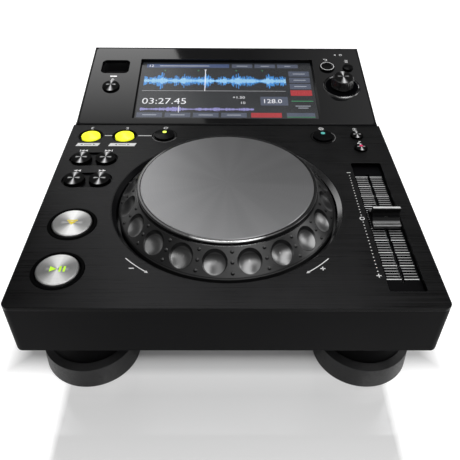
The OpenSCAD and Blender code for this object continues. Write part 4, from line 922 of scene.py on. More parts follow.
class PLAYER_OT_screen(Operator):
    """Draws a made-up picture on the screen"""

    bl_idname = "player.screen"
    bl_label = "Screen picture"

    # Window in millimetres on the glass, and the thickness of one layer of the picture
    LEFT, RIGHT = -69.5, 69.5
    LOW, HIGH = 12.0, 84.0
    LAYER = 0.03
    # Rows of the picture, its column of keys, and the middles of its tabs
    HEAD_ROW, FOOT_ROW = 80.4, 15.6
    WAVE_ROW, OVERVIEW_ROW = 59.5, 22.6
    KEY_COLUMN = 60.6
    HEAD_TABS = tuple(13 + 19.4 * i for i in range(3))
    SIDE_TABS = tuple(69.6 - 8.6 * i for i in range(3))
    FOOT_TABS = tuple(-60.5 + 22 * i for i in range(4))

    def execute(self, context):
        """Adds the background, tabs, numerals and wave pictures."""
        self.tones = context.scene.player_screen
        self.background()
        self.header()
        self.waves()
        self.numbers()
        self.keys()
        return {"FINISHED"}

    def lit(self, name, tone, glow=0.4):
        """Lit picture material with display cells."""
        return finish(name, CELLS, tone, 0.25, 1600, 0.4, glow=glow)

    def layer_marks(self, level=1):
        """Marks in a layer of the picture above the background."""
        return Marks(self.LAYER, base=self.LAYER * level)

    def add_marks(self, name, marks, made):
        """Places a layer of the picture on the glass."""
        marks.piece(name, GLASS_PLANE, made, "chassis", "screen")

    def background(self):
        """Dark slate over the whole window."""
        middle = ((self.LEFT + self.RIGHT) / 2, (self.LOW + self.HIGH) / 2)
        field = self.layer_marks(0).bar(*middle, self.RIGHT - self.LEFT + 4, self.HIGH - self.LOW + 3)
        self.add_marks("screen_background", field, self.lit("Screen slate", self.tones.back))

    def header(self):
        """Blue strip with a number, and slate tabs beside it."""
        strip = self.layer_marks().bar(-33, self.HEAD_ROW, 70, 5.2)
        self.add_marks("screen_strip", strip, self.lit("Screen strip", self.tones.strip))
        tabs = self.layer_marks()
        for x in self.HEAD_TABS:
            tabs.bar(x, self.HEAD_ROW, 17.6, 5.2)
        for y in self.SIDE_TABS:
            tabs.bar(self.KEY_COLUMN, y, 17.4, 7.2)
        for x in self.FOOT_TABS:
            tabs.bar(x, self.FOOT_ROW, 20, 5.6)
        tabs.bar(38, 33.2, 22, 11).bar(58, 16.2, 22, 4.4)
        self.add_marks("screen_tabs", tabs, self.lit("Screen tabs", self.tones.tab))

    def waves(self):
        """Close wave with its play line, and the overview of the whole track."""
        blue = self.lit("Wave blue", self.tones.wave)
        pale = self.lit("Wave core", (0.22, 0.42, 0.6))
        lavender = self.lit("Overview lavender", self.tones.overview)
        rows = (
            ("screen_wave", blue, 196, 0.6, 25.0, 0.11, 3, self.WAVE_ROW, 2),
            ("screen_wave_core", pale, 196, 0.6, 11.0, 0.11, 8, self.WAVE_ROW, 3),
            ("screen_overview", lavender, 150, 0.6, 7.0, 0.06, 5, self.OVERVIEW_ROW, 2),
        )
        for name, made, count, pitch, tall, swell, seed, level, layer in rows:
            values = {"Count": count, "Pitch": pitch, "Height": tall, "Thickness": self.LAYER, "Swell": swell}
            values.update({"Seed": seed, "Material": made})
            data = grown(name, wave_row, values)
            plane = GLASS_PLANE @ Matrix.Translation((self.LEFT + 1.2, level, self.LAYER * layer))
            seated(name, data, plane, made, "chassis")
        white = self.lit("Picture white", self.tones.white)
        lines = self.layer_marks(4)
        lines.bar(-18, self.WAVE_ROW, 0.7, 27.5).bar(-38, self.OVERVIEW_ROW, 0.6, 8.6)
        lines.arrow(-18, 74.0, 2.2, 270).bar(-10.5, 46.0, 117, 0.25)
        self.add_marks("screen_play_line", lines, white)

    def numbers(self):
        """Time, speed and track numbers."""
        white = bpy.data.materials["Picture white"]
        plane = raised(GLASS_PLANE, self.LAYER * 2.5)
        rows = (
            ("screen_time", "03:27.45", 10.5, -68, 29.2),
            ("screen_speed", "128.0", 7.2, 28.4, 30.6),
            ("screen_track", "12", 4.6, -66.5, 78.8),
            ("screen_shift", "+1.50", 4.4, 4.5, 36.2),
            ("screen_span", "10", 4.4, 10.5, 29.4),
        )
        for name, words, size, x, y in rows:
            numerals(name, words, size, x, y, plane, white, "chassis", self.LAYER)

    def keys(self):
        """Red and green keys and small marks."""
        red = self.layer_marks().bar(self.KEY_COLUMN, 43.8, 17.4, 7.2).bar(31, self.FOOT_ROW, 24, 5.6)
        self.add_marks("screen_red_keys", red, self.lit("Screen red", self.tones.red))
        green = self.layer_marks().bar(self.KEY_COLUMN, 33.2, 17.4, 1.2).bar(58, 13.4, 22, 0.9)
        for x in (-52, -24, 8, 30):
            green.arrow(x, 73.6, 1.8, 270)
        self.add_marks("screen_green_marks", green, self.lit("Screen green", self.tones.green))
        pale = self.layer_marks(2)
        for i, x in enumerate(self.HEAD_TABS):
            pale.bar(x, self.HEAD_ROW, 9 - 2 * i, 0.8)
            pale.bar(self.KEY_COLUMN, self.SIDE_TABS[i], 10, 0.9)
        for x in self.FOOT_TABS:
            pale.bar(x, self.FOOT_ROW, 11, 0.9)
        pale.bar(-36, self.HEAD_ROW, 42, 1.1)
        pale.bar(self.KEY_COLUMN, 27.0, 12, 0.8).bar(self.KEY_COLUMN, 24.6, 8, 0.8)
        self.add_marks("screen_lines", pale, self.lit("Picture pale", (0.28, 0.3, 0.34)))


class PLAYER_OT_jog(Operator):
    """Finishes the jog wheel and its recess"""

    bl_idname = "player.jog"
    bl_label = "Jog wheel"

    # The ring's rim ends at this radius, and the slope with the hollows ends at its foot (radius, height)
    RIM_RADIUS = 55.7 * MM
    RIM_BLEND = 0.2 * MM
    SLOPE_LEAN = math.radians(40.6)
    SLOPE_FOOT = (67.3 * MM, DECK_PLANE.translation.z - 1.2 * MM)
    # Depths under the slope's face between which a hollow's gloss passes into the face's
    HOLLOW_DEPTHS = (-0.2 * MM, -0.05 * MM)
    # Share of the slope's own normal in the hollows, and of the roughness inside the rim
    CONE_SHARE = 0.35
    RIM_POLISH = 0.3
    # Gloss of the rim and the hollows at the front and behind it, and of the face at the left and the right
    RIM_GLOSS = (3.6, 0.18)
    HOLLOW_GLOSS = (1.0, 0.2)
    FACE_GLOSS = (0.25, 0.05)
    STEEP_SHARE = 0.15
    # Bands of the direction from the axis, or of the normal's height, in which these values change
    RIM_BAND = (-0.99, -0.92)
    HOLLOW_BAND = (-0.4, -0.1)
    FACE_BAND = (0.75, 0.95)
    STEEP_BAND = (0.3, 0.7)

    def execute(self, context):
        """Dresses the wheel's nodes."""
        tones, case = context.scene.player_control, context.scene.player_case
        plate = finish("Spun plate", SPUN, tones.plate, 0.34, 220, 0.2, bump=0.05, metal=1.0)
        dress(grooved(plate, 0.1), "jog_plate")
        dress(self.satin_ring(tones), "jog_wheel")
        recess = finish("Recess black", MOULDED, case.gloss, 0.14, 2500, 0.2, gloss=1.0)
        dress(glossy_right(leaned_up(recess, 0.9), 0.03, 0.06, 0.12), "jog_surround")
        nickel = finish("Shaft nickel", SPUN, case.nickel, 0.25, 200, 0.2, metal=1.0)
        dress(nickel, "jog_shaft", "jog_encoder_disc", "selector_shaft", "fader_stem")
        bronze = finish("Bearing bronze", MOULDED, (0.42, 0.24, 0.09), 0.35, 2500, 0.3, bump=0.1, metal=1.0)
        dress(bronze, "jog_bearing")
        sensor = finish("Sensor plastic", MOULDED, case.case, 0.5, 4000, 0.25, bump=0.1)
        dress(sensor, "jog_sensor", "key_switches")
        return {"FINISHED"}

    def satin_ring(self, tones):
        """Satin ring with a polished rim and hollows that are shaded as shallower ones."""
        made = finish(
            "Satin ring", MOULDED, tones.ring, 0.3, 3500, 0.2, bump=0.05, edge=0.00025, gloss=1.0, ior=2.0
        )
        tree, shader = opened(made)
        out, away = bearing(tree, "jog_wheel")
        normal = fed_by(shader["Normal"])
        tree.links.new(self.shallower(tree, normal, out, away), shader["Normal"])
        shine = self.shine_of(tree, out, axes_of(tree, away))
        upright = axes_of(tree, normal)["Z"]
        level = spread(tree, upright, *self.STEEP_BAND, self.STEEP_SHARE, 1.0)
        tree.links.new(math_of(tree, "MULTIPLY", shine, level), shader[GLOSS])
        half = self.RIM_BLEND / 2
        polish = spread(tree, out, self.RIM_RADIUS - half, self.RIM_RADIUS + half, self.RIM_POLISH, 1.0)
        tree.links.new(math_of(tree, "MULTIPLY", fed_by(shader["Roughness"]), polish), shader["Roughness"])
        return made

    def past_rim(self, tree, out, inside, outside):
        """Value that passes from one to another where the slope starts."""
        return spread(tree, out, self.RIM_RADIUS, self.RIM_RADIUS + self.RIM_BLEND, inside, outside)

    def shallower(self, tree, normal, out, away):
        """Normals of the slope, leaned towards those of a plain cone."""
        sideways = tinted(tree, away, math.sin(self.SLOPE_LEAN))
        cone = vector_of(tree, "ADD", sideways, (0, 0, math.cos(self.SLOPE_LEAN)))
        weight = self.past_rim(tree, out, 0.0, self.CONE_SHARE)
        rest = math_of(tree, "SUBTRACT", 1.0, weight)
        mixed = vector_of(tree, "ADD", tinted(tree, normal, rest), tinted(tree, cone, weight))
        return vector_of(tree, "NORMALIZE", mixed)

    def shine_of(self, tree, out, sides):
        """Gloss by place: strongest at the front of the rim, then in the hollows, least on the face."""
        height = axes_of(tree, coordinates(tree))["Z"]
        radius, level = self.SLOPE_FOOT
        off = math_of(tree, "MULTIPLY", math_of(tree, "SUBTRACT", out, radius), math.sin(self.SLOPE_LEAN))
        above = math_of(tree, "MULTIPLY", math_of(tree, "SUBTRACT", height, level), math.cos(self.SLOPE_LEAN))
        face = spread(tree, sides["X"], *self.FACE_BAND, *self.FACE_GLOSS)
        deep = spread(tree, sides["Y"], *self.HOLLOW_BAND, *self.HOLLOW_GLOSS)
        slope = spread(tree, math_of(tree, "ADD", off, above), *self.HOLLOW_DEPTHS, deep, face)
        ahead = spread(tree, sides["Y"], *self.RIM_BAND, *self.RIM_GLOSS)
        rim = math_of(tree, "MULTIPLY", self.past_rim(tree, out, 1.0, 0.0), ahead)
        return math_of(tree, "MAXIMUM", slope, rim)


class PLAYER_OT_fader(Operator):
    """Finishes the fader and prints its scale"""

    bl_idname = "player.fader"
    bl_label = "Fader"

    # Height of the cap's foot and depth of the tray's floor under the deck, in millimetres
    CAP_FOOT = 2.5
    TRAY_DEPTH = 3.3
    # Gloss of the cap's foot and of its flanks, and the band about the foot in which it changes
    CAP_GLOSS = (2.2, 0.07)
    FOOT_BAND = (-0.1, 0.8)
    # Columns of the scale lines, and the dotted scale's place beside the tray and half length
    COLUMN_PITCH, COLUMN_START = 9.7, -4.35
    DOTS_ASIDE, DOTS_REACH = -13.4, 48.8

    def execute(self, context):
        """Dresses the fader and adds ticks, dots and the cap's line."""
        scene = context.scene
        ink, case = scene.player_print, scene.player_case
        tray = finish("Tray black", MOULDED, case.gloss, 0.4, 3000, 0.2, bump=0.05, gloss=0.04)
        dress(tray, "fader_plate")
        cap = finish(
            "Cap black", MOULDED, (0.004, 0.004, 0.0045), 0.3, 3500, 0.2, bump=0.05, edge=0.0008, gloss=0.2
        )
        dress(self.shining_foot(cap), "fader_cap")
        grey = finish("Scale grey", MOULDED, ink.tick, 0.5, 2500, 0.2)
        pale = finish("Scale pale", MOULDED, (0.8, 0.8, 0.8), 0.5, 2500, 0.2)
        line = finish("Cap line", MOULDED, (0.65, 0.65, 0.65), 0.5, 2500, 0.2)
        # The deck print gets a faint glow of its own, painted light: print is no lamp.
        white = finish("Deck print", MOULDED, ink.ink, 0.5, 2500, 0.15, glow=0.1)
        self.ticks(ink, grey, pale)
        self.scale(ink, white)
        self.cap_line(ink, line)
        return {"FINISHED"}

    def shining_foot(self, made):
        """Polishes the cap's foot, which catches the light above the camera, and dulls its flanks."""
        tree, shader = opened(made)
        height = axes_of(tree, coordinates(tree))["Z"]
        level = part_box("fader_cap")[0].z + self.CAP_FOOT * MM
        band = [level + part * MM for part in self.FOOT_BAND]
        shine = spread(tree, height, *band, *self.CAP_GLOSS)
        tree.links.new(shine, shader[GLOSS])
        return made

    def ticks(self, ink, grey, pale):
        """Two columns of scale lines on the tray's floor, every fifth one brighter."""
        at = place_on(DECK_PLANE, "fader_plate")
        span = (ink.ticks - 1) * ink.tick_pitch
        floor = raised(DECK_PLANE, ink.thick / 2 - self.TRAY_DEPTH)
        columns = {"Columns": 2, "Column Pitch": self.COLUMN_PITCH, "Material": grey}
        fine = {"Rows": ink.ticks, "Row Pitch": ink.tick_pitch, "Block": (7.6, 0.5, ink.thick)}
        start = Matrix.Translation((at.x + self.COLUMN_START, at.y - span / 2, 0))
        data = grown("fader_ticks", block_rows, {**columns, **fine})
        seated("fader_ticks", data, floor @ start, grey, "chassis")
        fifth = {"Rows": (ink.ticks - 1) // 5 + 1, "Row Pitch": 5 * ink.tick_pitch}
        fifth["Block"] = (8.2, 0.6, 1.6 * ink.thick)
        data = grown("fader_main_ticks", block_rows, {**columns, **fifth, "Material": pale})
        seated("fader_main_ticks", data, floor @ start, pale, "chassis")

    def scale(self, ink, white):
        """Dotted scale beside the recess with minus, nought and plus."""
        at = place_on(DECK_PLANE, "fader_plate")
        x = at.x + self.DOTS_ASIDE
        reach = self.DOTS_REACH
        dots = int(reach / ink.dot_pitch) - 1
        sizes = {"Count": dots, "Pitch": ink.dot_pitch, "Radius": 0.38}
        sizes.update({"Thickness": ink.thick, "Material": white})
        for name, start in (("scale_dots_front", -reach), ("scale_dots_rear", 0)):
            data = grown(name, dot_row, sizes)
            first = Matrix.Translation((x, at.y + start + 1.2 * ink.dot_pitch, ink.thick / 2))
            seated(name, data, DECK_PLANE @ first, white, "chassis")
        signs = Marks(ink.thick).bar(x, at.y + reach, 2.6, 0.6).arc(x, at.y, 1.3, 0.55, sides=20)
        signs.bar(x, at.y - reach, 2.8, 0.6).bar(x, at.y - reach, 0.6, 2.8)
        signs.piece("scale_signs", DECK_PLANE, white, "chassis", "deck_brushed")

    def cap_line(self, ink, line):
        """White line along the ridge of the cap."""
        low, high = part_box("fader_cap")
        at = place_on(DECK_PLANE, "fader_cap")
        top = raised(DECK_PLANE, deck_height("fader_cap"))
        wide = (high.x - low.x) / MM
        mark = Marks(ink.thick).bar(at.x, at.y, wide - 0.2, 1.7)
        mark.piece("fader_line", top, line, "fader", "fader_black")


class PLAYER_OT_keys(Operator):
    """Finishes the buttons and gives them their signs and lamps"""

    bl_idname = "player.keys"
    bl_label = "Buttons"

    # Height of the transport buttons' tops above the deck, in millimetres
    TRANSPORT_TOP = 1.2

    def execute(self, context):
        """Dresses buttons, cups and rings, then adds signs and lamps."""
        scene = context.scene
        tones, case, ink = scene.player_control, scene.player_case, scene.player_print
        silver = finish(
            "Spun silver", SPUN, tones.silver, 0.34, 60, 0.3, bump=0.04, edge=0.0012, wear=0.0, metal=1.0
        )
        # The spun silver and black keys get painted bow-tie highlights in their colour.
        dress(bow_tie(grooved(silver, 0.5), 0.26, 4.0, 0.3, 1.0), "cue_button", "play_button")
        black = finish("Spun black", SPUN, tones.black, 0.35, 40, 0.2, bump=0.04, gloss=0.03)
        bow_tie(black, 0.003, 45.0, 0.8)
        dress(black, "track_back_button", "track_next_button", "search_back_button", "search_forward_button")
        dress(black, "tempo_range_button", "master_tempo_button", "usb_stop_button")
        plain = finish(
            "Key black", MOULDED, (0.0025, 0.0025, 0.0028), 0.25, 2500, 0.2, bump=0.04, gloss=0.06
        )
        dress(plain, "reloop_button", "vinyl_mode_button", "back_button", "power_button", "tag_track_button")
        lit = finish("Lit yellow", MOULDED, tones.yellow, 0.3, 600, 0.12, glow=0.75)
        dress(lit, "loop_in_button", "loop_out_button")
        gloss = finish(
            "Ring gloss", MOULDED, case.gloss, 0.3, 2500, 0.2, bump=0.02, edge=0.0002, gloss=0.06
        )
        dress(gloss, "loop_cups", "search_cups")
        ring = finish("Ring black", MOULDED, (0.0012, 0.0012, 0.0013), 0.5, 2500, 0.2, gloss=0.015)
        dress(ring, "transport_rings")
        self.transport_signs(tones, ink)
        self.lamps(tones)
        self.rims(ink)
        return {"FINISHED"}

    def rims(self, ink):
        """Black rims round the holes, painted shade of the holes, and painted highlights on part of the rims
        of two of them.
        """
        rows = (
            ("loop_in_button", 0.9, None),
            ("loop_out_button", 0.9, None),
            ("reloop_button", 0.7, (195, 345)),
            ("vinyl_mode_button", 0.7, (-50, 40)),
        )
        dark = Marks(ink.thick)
        lit = Marks(ink.thick, base=0.0)
        for button, width, span in rows:
            at = place_on(DECK_PLANE, button)
            low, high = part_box(button)
            edge = (high.x - low.x) / (2 * MM) + 0.25
            dark.arc(at.x, at.y, edge + width / 2, width)
            if span:
                lit.arc(at.x, at.y, edge + width / 2, 0.45, *span, 16)
        # The black rims are painted shade of the holes round the buttons.
        black = finish("Rim black", MOULDED, (0.002, 0.002, 0.002), 0.5, 2500, 0.2, gloss=0.03)
        dark.piece("key_rims", DECK_PLANE, black, "chassis", "deck_brushed")
        # The grey arcs are painted highlights on the rims.
        grey = finish("Rim light", MOULDED, (0.16, 0.16, 0.16), 0.4, 2500, 0.2)
        lit.piece("key_rim_lights", DECK_PLANE, grey, "chassis", "deck_brushed")

    def transport_signs(self, tones, ink):
        """Yellow marker on the cue button, lime play and pause on the play button."""
        yellow = finish("Sign yellow", MOULDED, (0.6, 0.48, 0.02), 0.4, 2500, 0.15, glow=0.4)
        lime = finish("Sign lime", MOULDED, tones.lime, 0.4, 2500, 0.15, glow=0.5)
        top = raised(DECK_PLANE, self.TRANSPORT_TOP)
        cue = place_on(DECK_PLANE, "cue_button")
        marker = Marks(ink.thick).bar(cue.x, cue.y + 1.9, 6.2, 1.1).arrow(cue.x, cue.y - 0.7, 5.2, 270, 0.6)
        marker.piece("cue_sign", top, yellow, "cue_button", "key_metal")
        play = place_on(DECK_PLANE, "play_button")
        signs = Marks(ink.thick).arrow(play.x - 2.2, play.y, 4.2, 0, 0.9)
        signs.bar(play.x + 1.6, play.y, 1.2, 4.2).bar(play.x + 3.9, play.y, 1.2, 4.2)
        signs.piece("play_sign", top, lime, "play_button", "key_metal")

    def lamps(self, tones):
        """Small lamps in the button tops."""
        rows = (
            ("reloop_button", (0.7, 0.95, 0.1), 2.2, 1.5, 0.9),
            ("vinyl_mode_button", tones.teal, 2.2, 1.6, 0.5),
            ("master_tempo_button", tones.red, 0.8, 1.3, 0.45),
        )
        for button, tone, behind, radius, glow in rows:
            at = place_on(DECK_PLANE, button)
            top = raised(DECK_PLANE, deck_height(button))
            made = finish("Lamp " + button, MOULDED, tone, 0.3, 2500, 0.15, glow=glow)
            lamp = Marks(0.35, base=-0.28).spot(at.x, at.y + behind, radius)
            lamp.piece(button.replace("button", "lamp"), top, made, button, "key_black")


class PLAYER_OT_selector(Operator):
    """Finishes the rotary selector"""

    bl_idname = "player.selector"
    bl_label = "Rotary selector"

    def execute(self, context):
        """Dresses the knob and its plunger."""
        scene = context.scene
        tones, case = scene.player_control, scene.player_case
        knob = finish("Spun knob", SPUN, tones.black, 0.16, 60, 0.2, bump=0.04, edge=0.0003, gloss=0.7)
        # The knob's top carries a painted bow-tie highlight in its colour.
        dress(dull_flat(bow_tie(knob, 0.003, 50.0, 0.3), PANEL_UP, 0.15), "selector_knob")
        collar = finish("Collar gloss", MOULDED, case.gloss, 0.1, 2500, 0.2, edge=0.0006, wear=0.0, ior=2.2)
        dress(glint_ahead(dull_flat(collar, PANEL_UP, 0.0), "selector_ring", 6.0), "selector_ring")
        ivory = finish("Plunger ivory", MOULDED, (0.6, 0.56, 0.46), 0.5, 3000, 0.2, bump=0.05)
        dress(ivory, "selector_plunger")
        return {"FINISHED"}


class PLAYER_OT_deck_marks(Operator):
    """Prints the plain signs on the deck"""

    bl_idname = "player.deck_marks"
    bl_label = "Deck marks"

    # Rows of signs behind the deck's front edge, in millimetres
    LABEL_ROW = 155.6
    BRACKET_ROW, TURN_ROW = 178.6, 179.2
    DISC_ROW, RANGE_ROW = 179.0, 178.9
    # Arcs round the wheel: radius, ends (x from the middle, row), and the place of minus and plus
    ARC_RADIUS = 77.6
    ARC_ENDS = ((56.5, 37.3), (43.9, 25.9))
    ARC_SIGN = (52.5, 29.0)

    def execute(self, context):
        """Adds signs beside the buttons and the arcs round the wheel."""
        self.ink = context.scene.player_print
        white = bpy.data.materials["Deck print"]
        self.loop_signs(white)
        self.search_signs(white)
        self.wheel_arcs(white)
        self.mode_signs(white)
        return {"FINISHED"}

    def loop_signs(self, white):
        """Label bars, joining lines and bracket signs of the loop row."""
        first, second, third = places_on(DECK_PLANE, "loop_in_button", "loop_out_button", "reloop_button")
        marks = Marks(self.ink.thick)
        marks.bar(first.x + 0.05, self.LABEL_ROW, 16.0, 4.0, slant=0.6)
        marks.bar(second.x + 0.15, self.LABEL_ROW, 18.8, 4.0, slant=0.6)
        marks.bar(first.x + 12.9, first.y + 0.4, 5.4, 0.75)
        marks.bar(second.x + 14.9, second.y + 0.2, 10.0, 0.75)
        for at, side in ((first, -1), (second, 1)):
            marks.bar(at.x + side * 1.2, self.BRACKET_ROW, 0.6, 3.0)
            for rise in (1.2, -1.2):
                marks.bar(at.x + side * 0.55, self.BRACKET_ROW + rise, 1.5, 0.6)
        marks.arc(third.x, self.TURN_ROW, 1.3, 0.5, 60, 340, 18)
        marks.arrow(third.x + 1.2, self.TURN_ROW + 0.7, 1.4, 100)
        marks.piece("loop_signs", DECK_PLANE, white, "chassis", "deck_brushed")
        shade = finish("Label shade", MOULDED, (0.12, 0.12, 0.12), 0.5, 2500, 0.2)
        small = Marks(self.ink.thick, base=0.0)
        for at in (first, second):
            small.arrow(at.x - 4.6, self.LABEL_ROW, 1.7, 180).bar(at.x, self.LABEL_ROW, 5.4, 0.55)
            small.arrow(at.x + 4.6, self.LABEL_ROW, 1.7, 0)
        small.piece("loop_label_signs", DECK_PLANE, shade, "chassis", "deck_brushed")

    def search_signs(self, white):
        """Skip and search arrows above the two pairs."""
        marks = Marks(self.ink.thick)
        for name, side, skip in (
            ("track_back_button", -1, True),
            ("track_next_button", 1, True),
            ("search_back_button", -1, False),
            ("search_forward_button", 1, False),
        ):
            at = place_on(DECK_PLANE, name)
            y = at.y + 10.6
            turn = 0 if side > 0 else 180
            marks.arrow(at.x - 1.2, y, 2.4, turn).arrow(at.x + 1.2, y, 2.4, turn)
            if skip:
                marks.bar(at.x + side * 2.8, y, 0.6, 2.4)
        marks.piece("search_signs", DECK_PLANE, white, "chassis", "deck_brushed")

    def wheel_arcs(self, white):
        """Turning arrows at the front of the wheel, with minus and plus."""
        centre = place_on(DECK_PLANE, "jog_plate")
        marks = Marks(self.ink.thick)
        radius = self.ARC_RADIUS
        aside, row = self.ARC_SIGN
        for side in (-1, 1):
            ends = [math.degrees(math.atan2(y - centre.y, side * x)) for x, y in self.ARC_ENDS]
            marks.arc(centre.x, centre.y, radius, 0.55, min(ends), max(ends), 14)
            tip = math.radians(ends[1])
            lean = ends[1] - (90 if side > 0 else -90)
            marks.arrow(centre.x + radius * math.cos(tip), centre.y + radius * math.sin(tip), 1.9, lean)
            marks.bar(centre.x + side * aside, row, 2.8, 0.65)
        marks.bar(centre.x + aside, row, 0.65, 2.8)
        marks.piece("wheel_arcs", DECK_PLANE, white, "chassis", "deck_brushed")

    def mode_signs(self, white):
        """Disc sign, plus-minus and note beside the mode buttons."""
        names = ("vinyl_mode_button", "tempo_range_button", "master_tempo_button")
        vinyl, span, lock = places_on(DECK_PLANE, *names)
        marks = Marks(self.ink.thick)
        marks.arc(vinyl.x, self.DISC_ROW, 1.6, 0.5).spot(vinyl.x, self.DISC_ROW, 0.6, 12)
        marks.bar(span.x, self.RANGE_ROW, 2.8, 0.6).bar(span.x, self.RANGE_ROW, 0.6, 2.6)
        marks.bar(span.x, self.RANGE_ROW - 2.0, 2.8, 0.6)
        marks.spot(lock.x - 0.6, lock.y + 6.8, 0.8, 14).bar(lock.x + 0.1, lock.y + 8.2, 0.45, 3.0)
        marks.bar(lock.x + 0.8, lock.y + 9.4, 1.6, 0.6)
        marks.piece("mode_signs", DECK_PLANE, white, "chassis", "deck_brushed")


def end_height(node):
    """Height of the axis of a node's round rear end."""
    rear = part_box(node)[1].y
    heights = [vertex.co.z for vertex in NODES[node].data.vertices if vertex.co.y > rear - 0.01 * MM]
    return (min(heights) + max(heights)) / 2


class PLAYER_OT_rear(Operator):
    """Finishes the rear sockets and the boards inside"""

    bl_idname = "player.rear"
    bl_label = "Rear sockets and boards"

    # Network contacts in metres: number, pitch, size, and place ahead of the socket's rear and above its base
    CONTACTS = 8
    CONTACT_PITCH = 1.02 * MM
    CONTACT_SIZE = (0.45 * MM, 7 * MM, 0.4 * MM)
    CONTACT_AHEAD, CONTACT_ABOVE = 7.5 * MM, 2.2 * MM
    # Name, x in metres and colour of the phono rings
    PHONO_RINGS = (
        ("phono_ring_right", 0.078, (0.55, 0.02, 0.02)),
        ("phono_ring_left", 0.06, (0.8, 0.8, 0.78)),
    )

    def execute(self, context):
        """Dresses sockets and boards, and adds contacts and phono rings."""
        dress(bpy.data.materials["Socket nickel"], "rca_jacks", "lan_socket", "usb_b_socket")
        dress(bpy.data.materials["Socket plastic"], "dc_inlet")
        board = finish("Circuit board", MOULDED, (0.014, 0.07, 0.035), 0.4, 2000, 0.3, bump=0.05)
        dress(board, "main_board", "left_key_board", "right_key_board", "display_board")
        self.contacts()
        self.phono_rings()
        return {"FINISHED"}

    def contacts(self):
        """Gilt contacts inside the network socket."""
        gilt = finish("Contact gilt", MOULDED, (0.8, 0.55, 0.2), 0.25, 2500, 0.15, metal=1.0)
        low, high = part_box("lan_socket")
        sizes = {"Columns": self.CONTACTS, "Rows": 1, "Column Pitch": self.CONTACT_PITCH, "Row Pitch": MM}
        sizes.update({"Block": self.CONTACT_SIZE, "Material": gilt})
        data = grown("network_contacts", block_rows, sizes)
        first = centre_of("lan_socket").x - (self.CONTACTS - 1) / 2 * self.CONTACT_PITCH
        place = Matrix.Translation((first, high.y - self.CONTACT_AHEAD, low.z + self.CONTACT_ABOVE))
        seated("network_contacts", data, place, gilt, "chassis")

    def phono_rings(self):
        """Red and white insulating rings round the phono jacks."""
        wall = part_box("main_case")[1].y
        level = end_height("rca_jacks")
        for name, x, tone in self.PHONO_RINGS:
            made = finish("Ring " + name, MOULDED, tone, 0.4, 2500, 0.15)
            turn = Matrix.Translation((x, wall, level)) @ Matrix.Rotation(-math.pi / 2, 4, "X")
            ring = Marks(0.6).arc(0, 0, 5.5, 1.8, sides=36)
            ring.piece(name, turn @ Matrix.Scale(MM, 4), made, "chassis", "nickel")


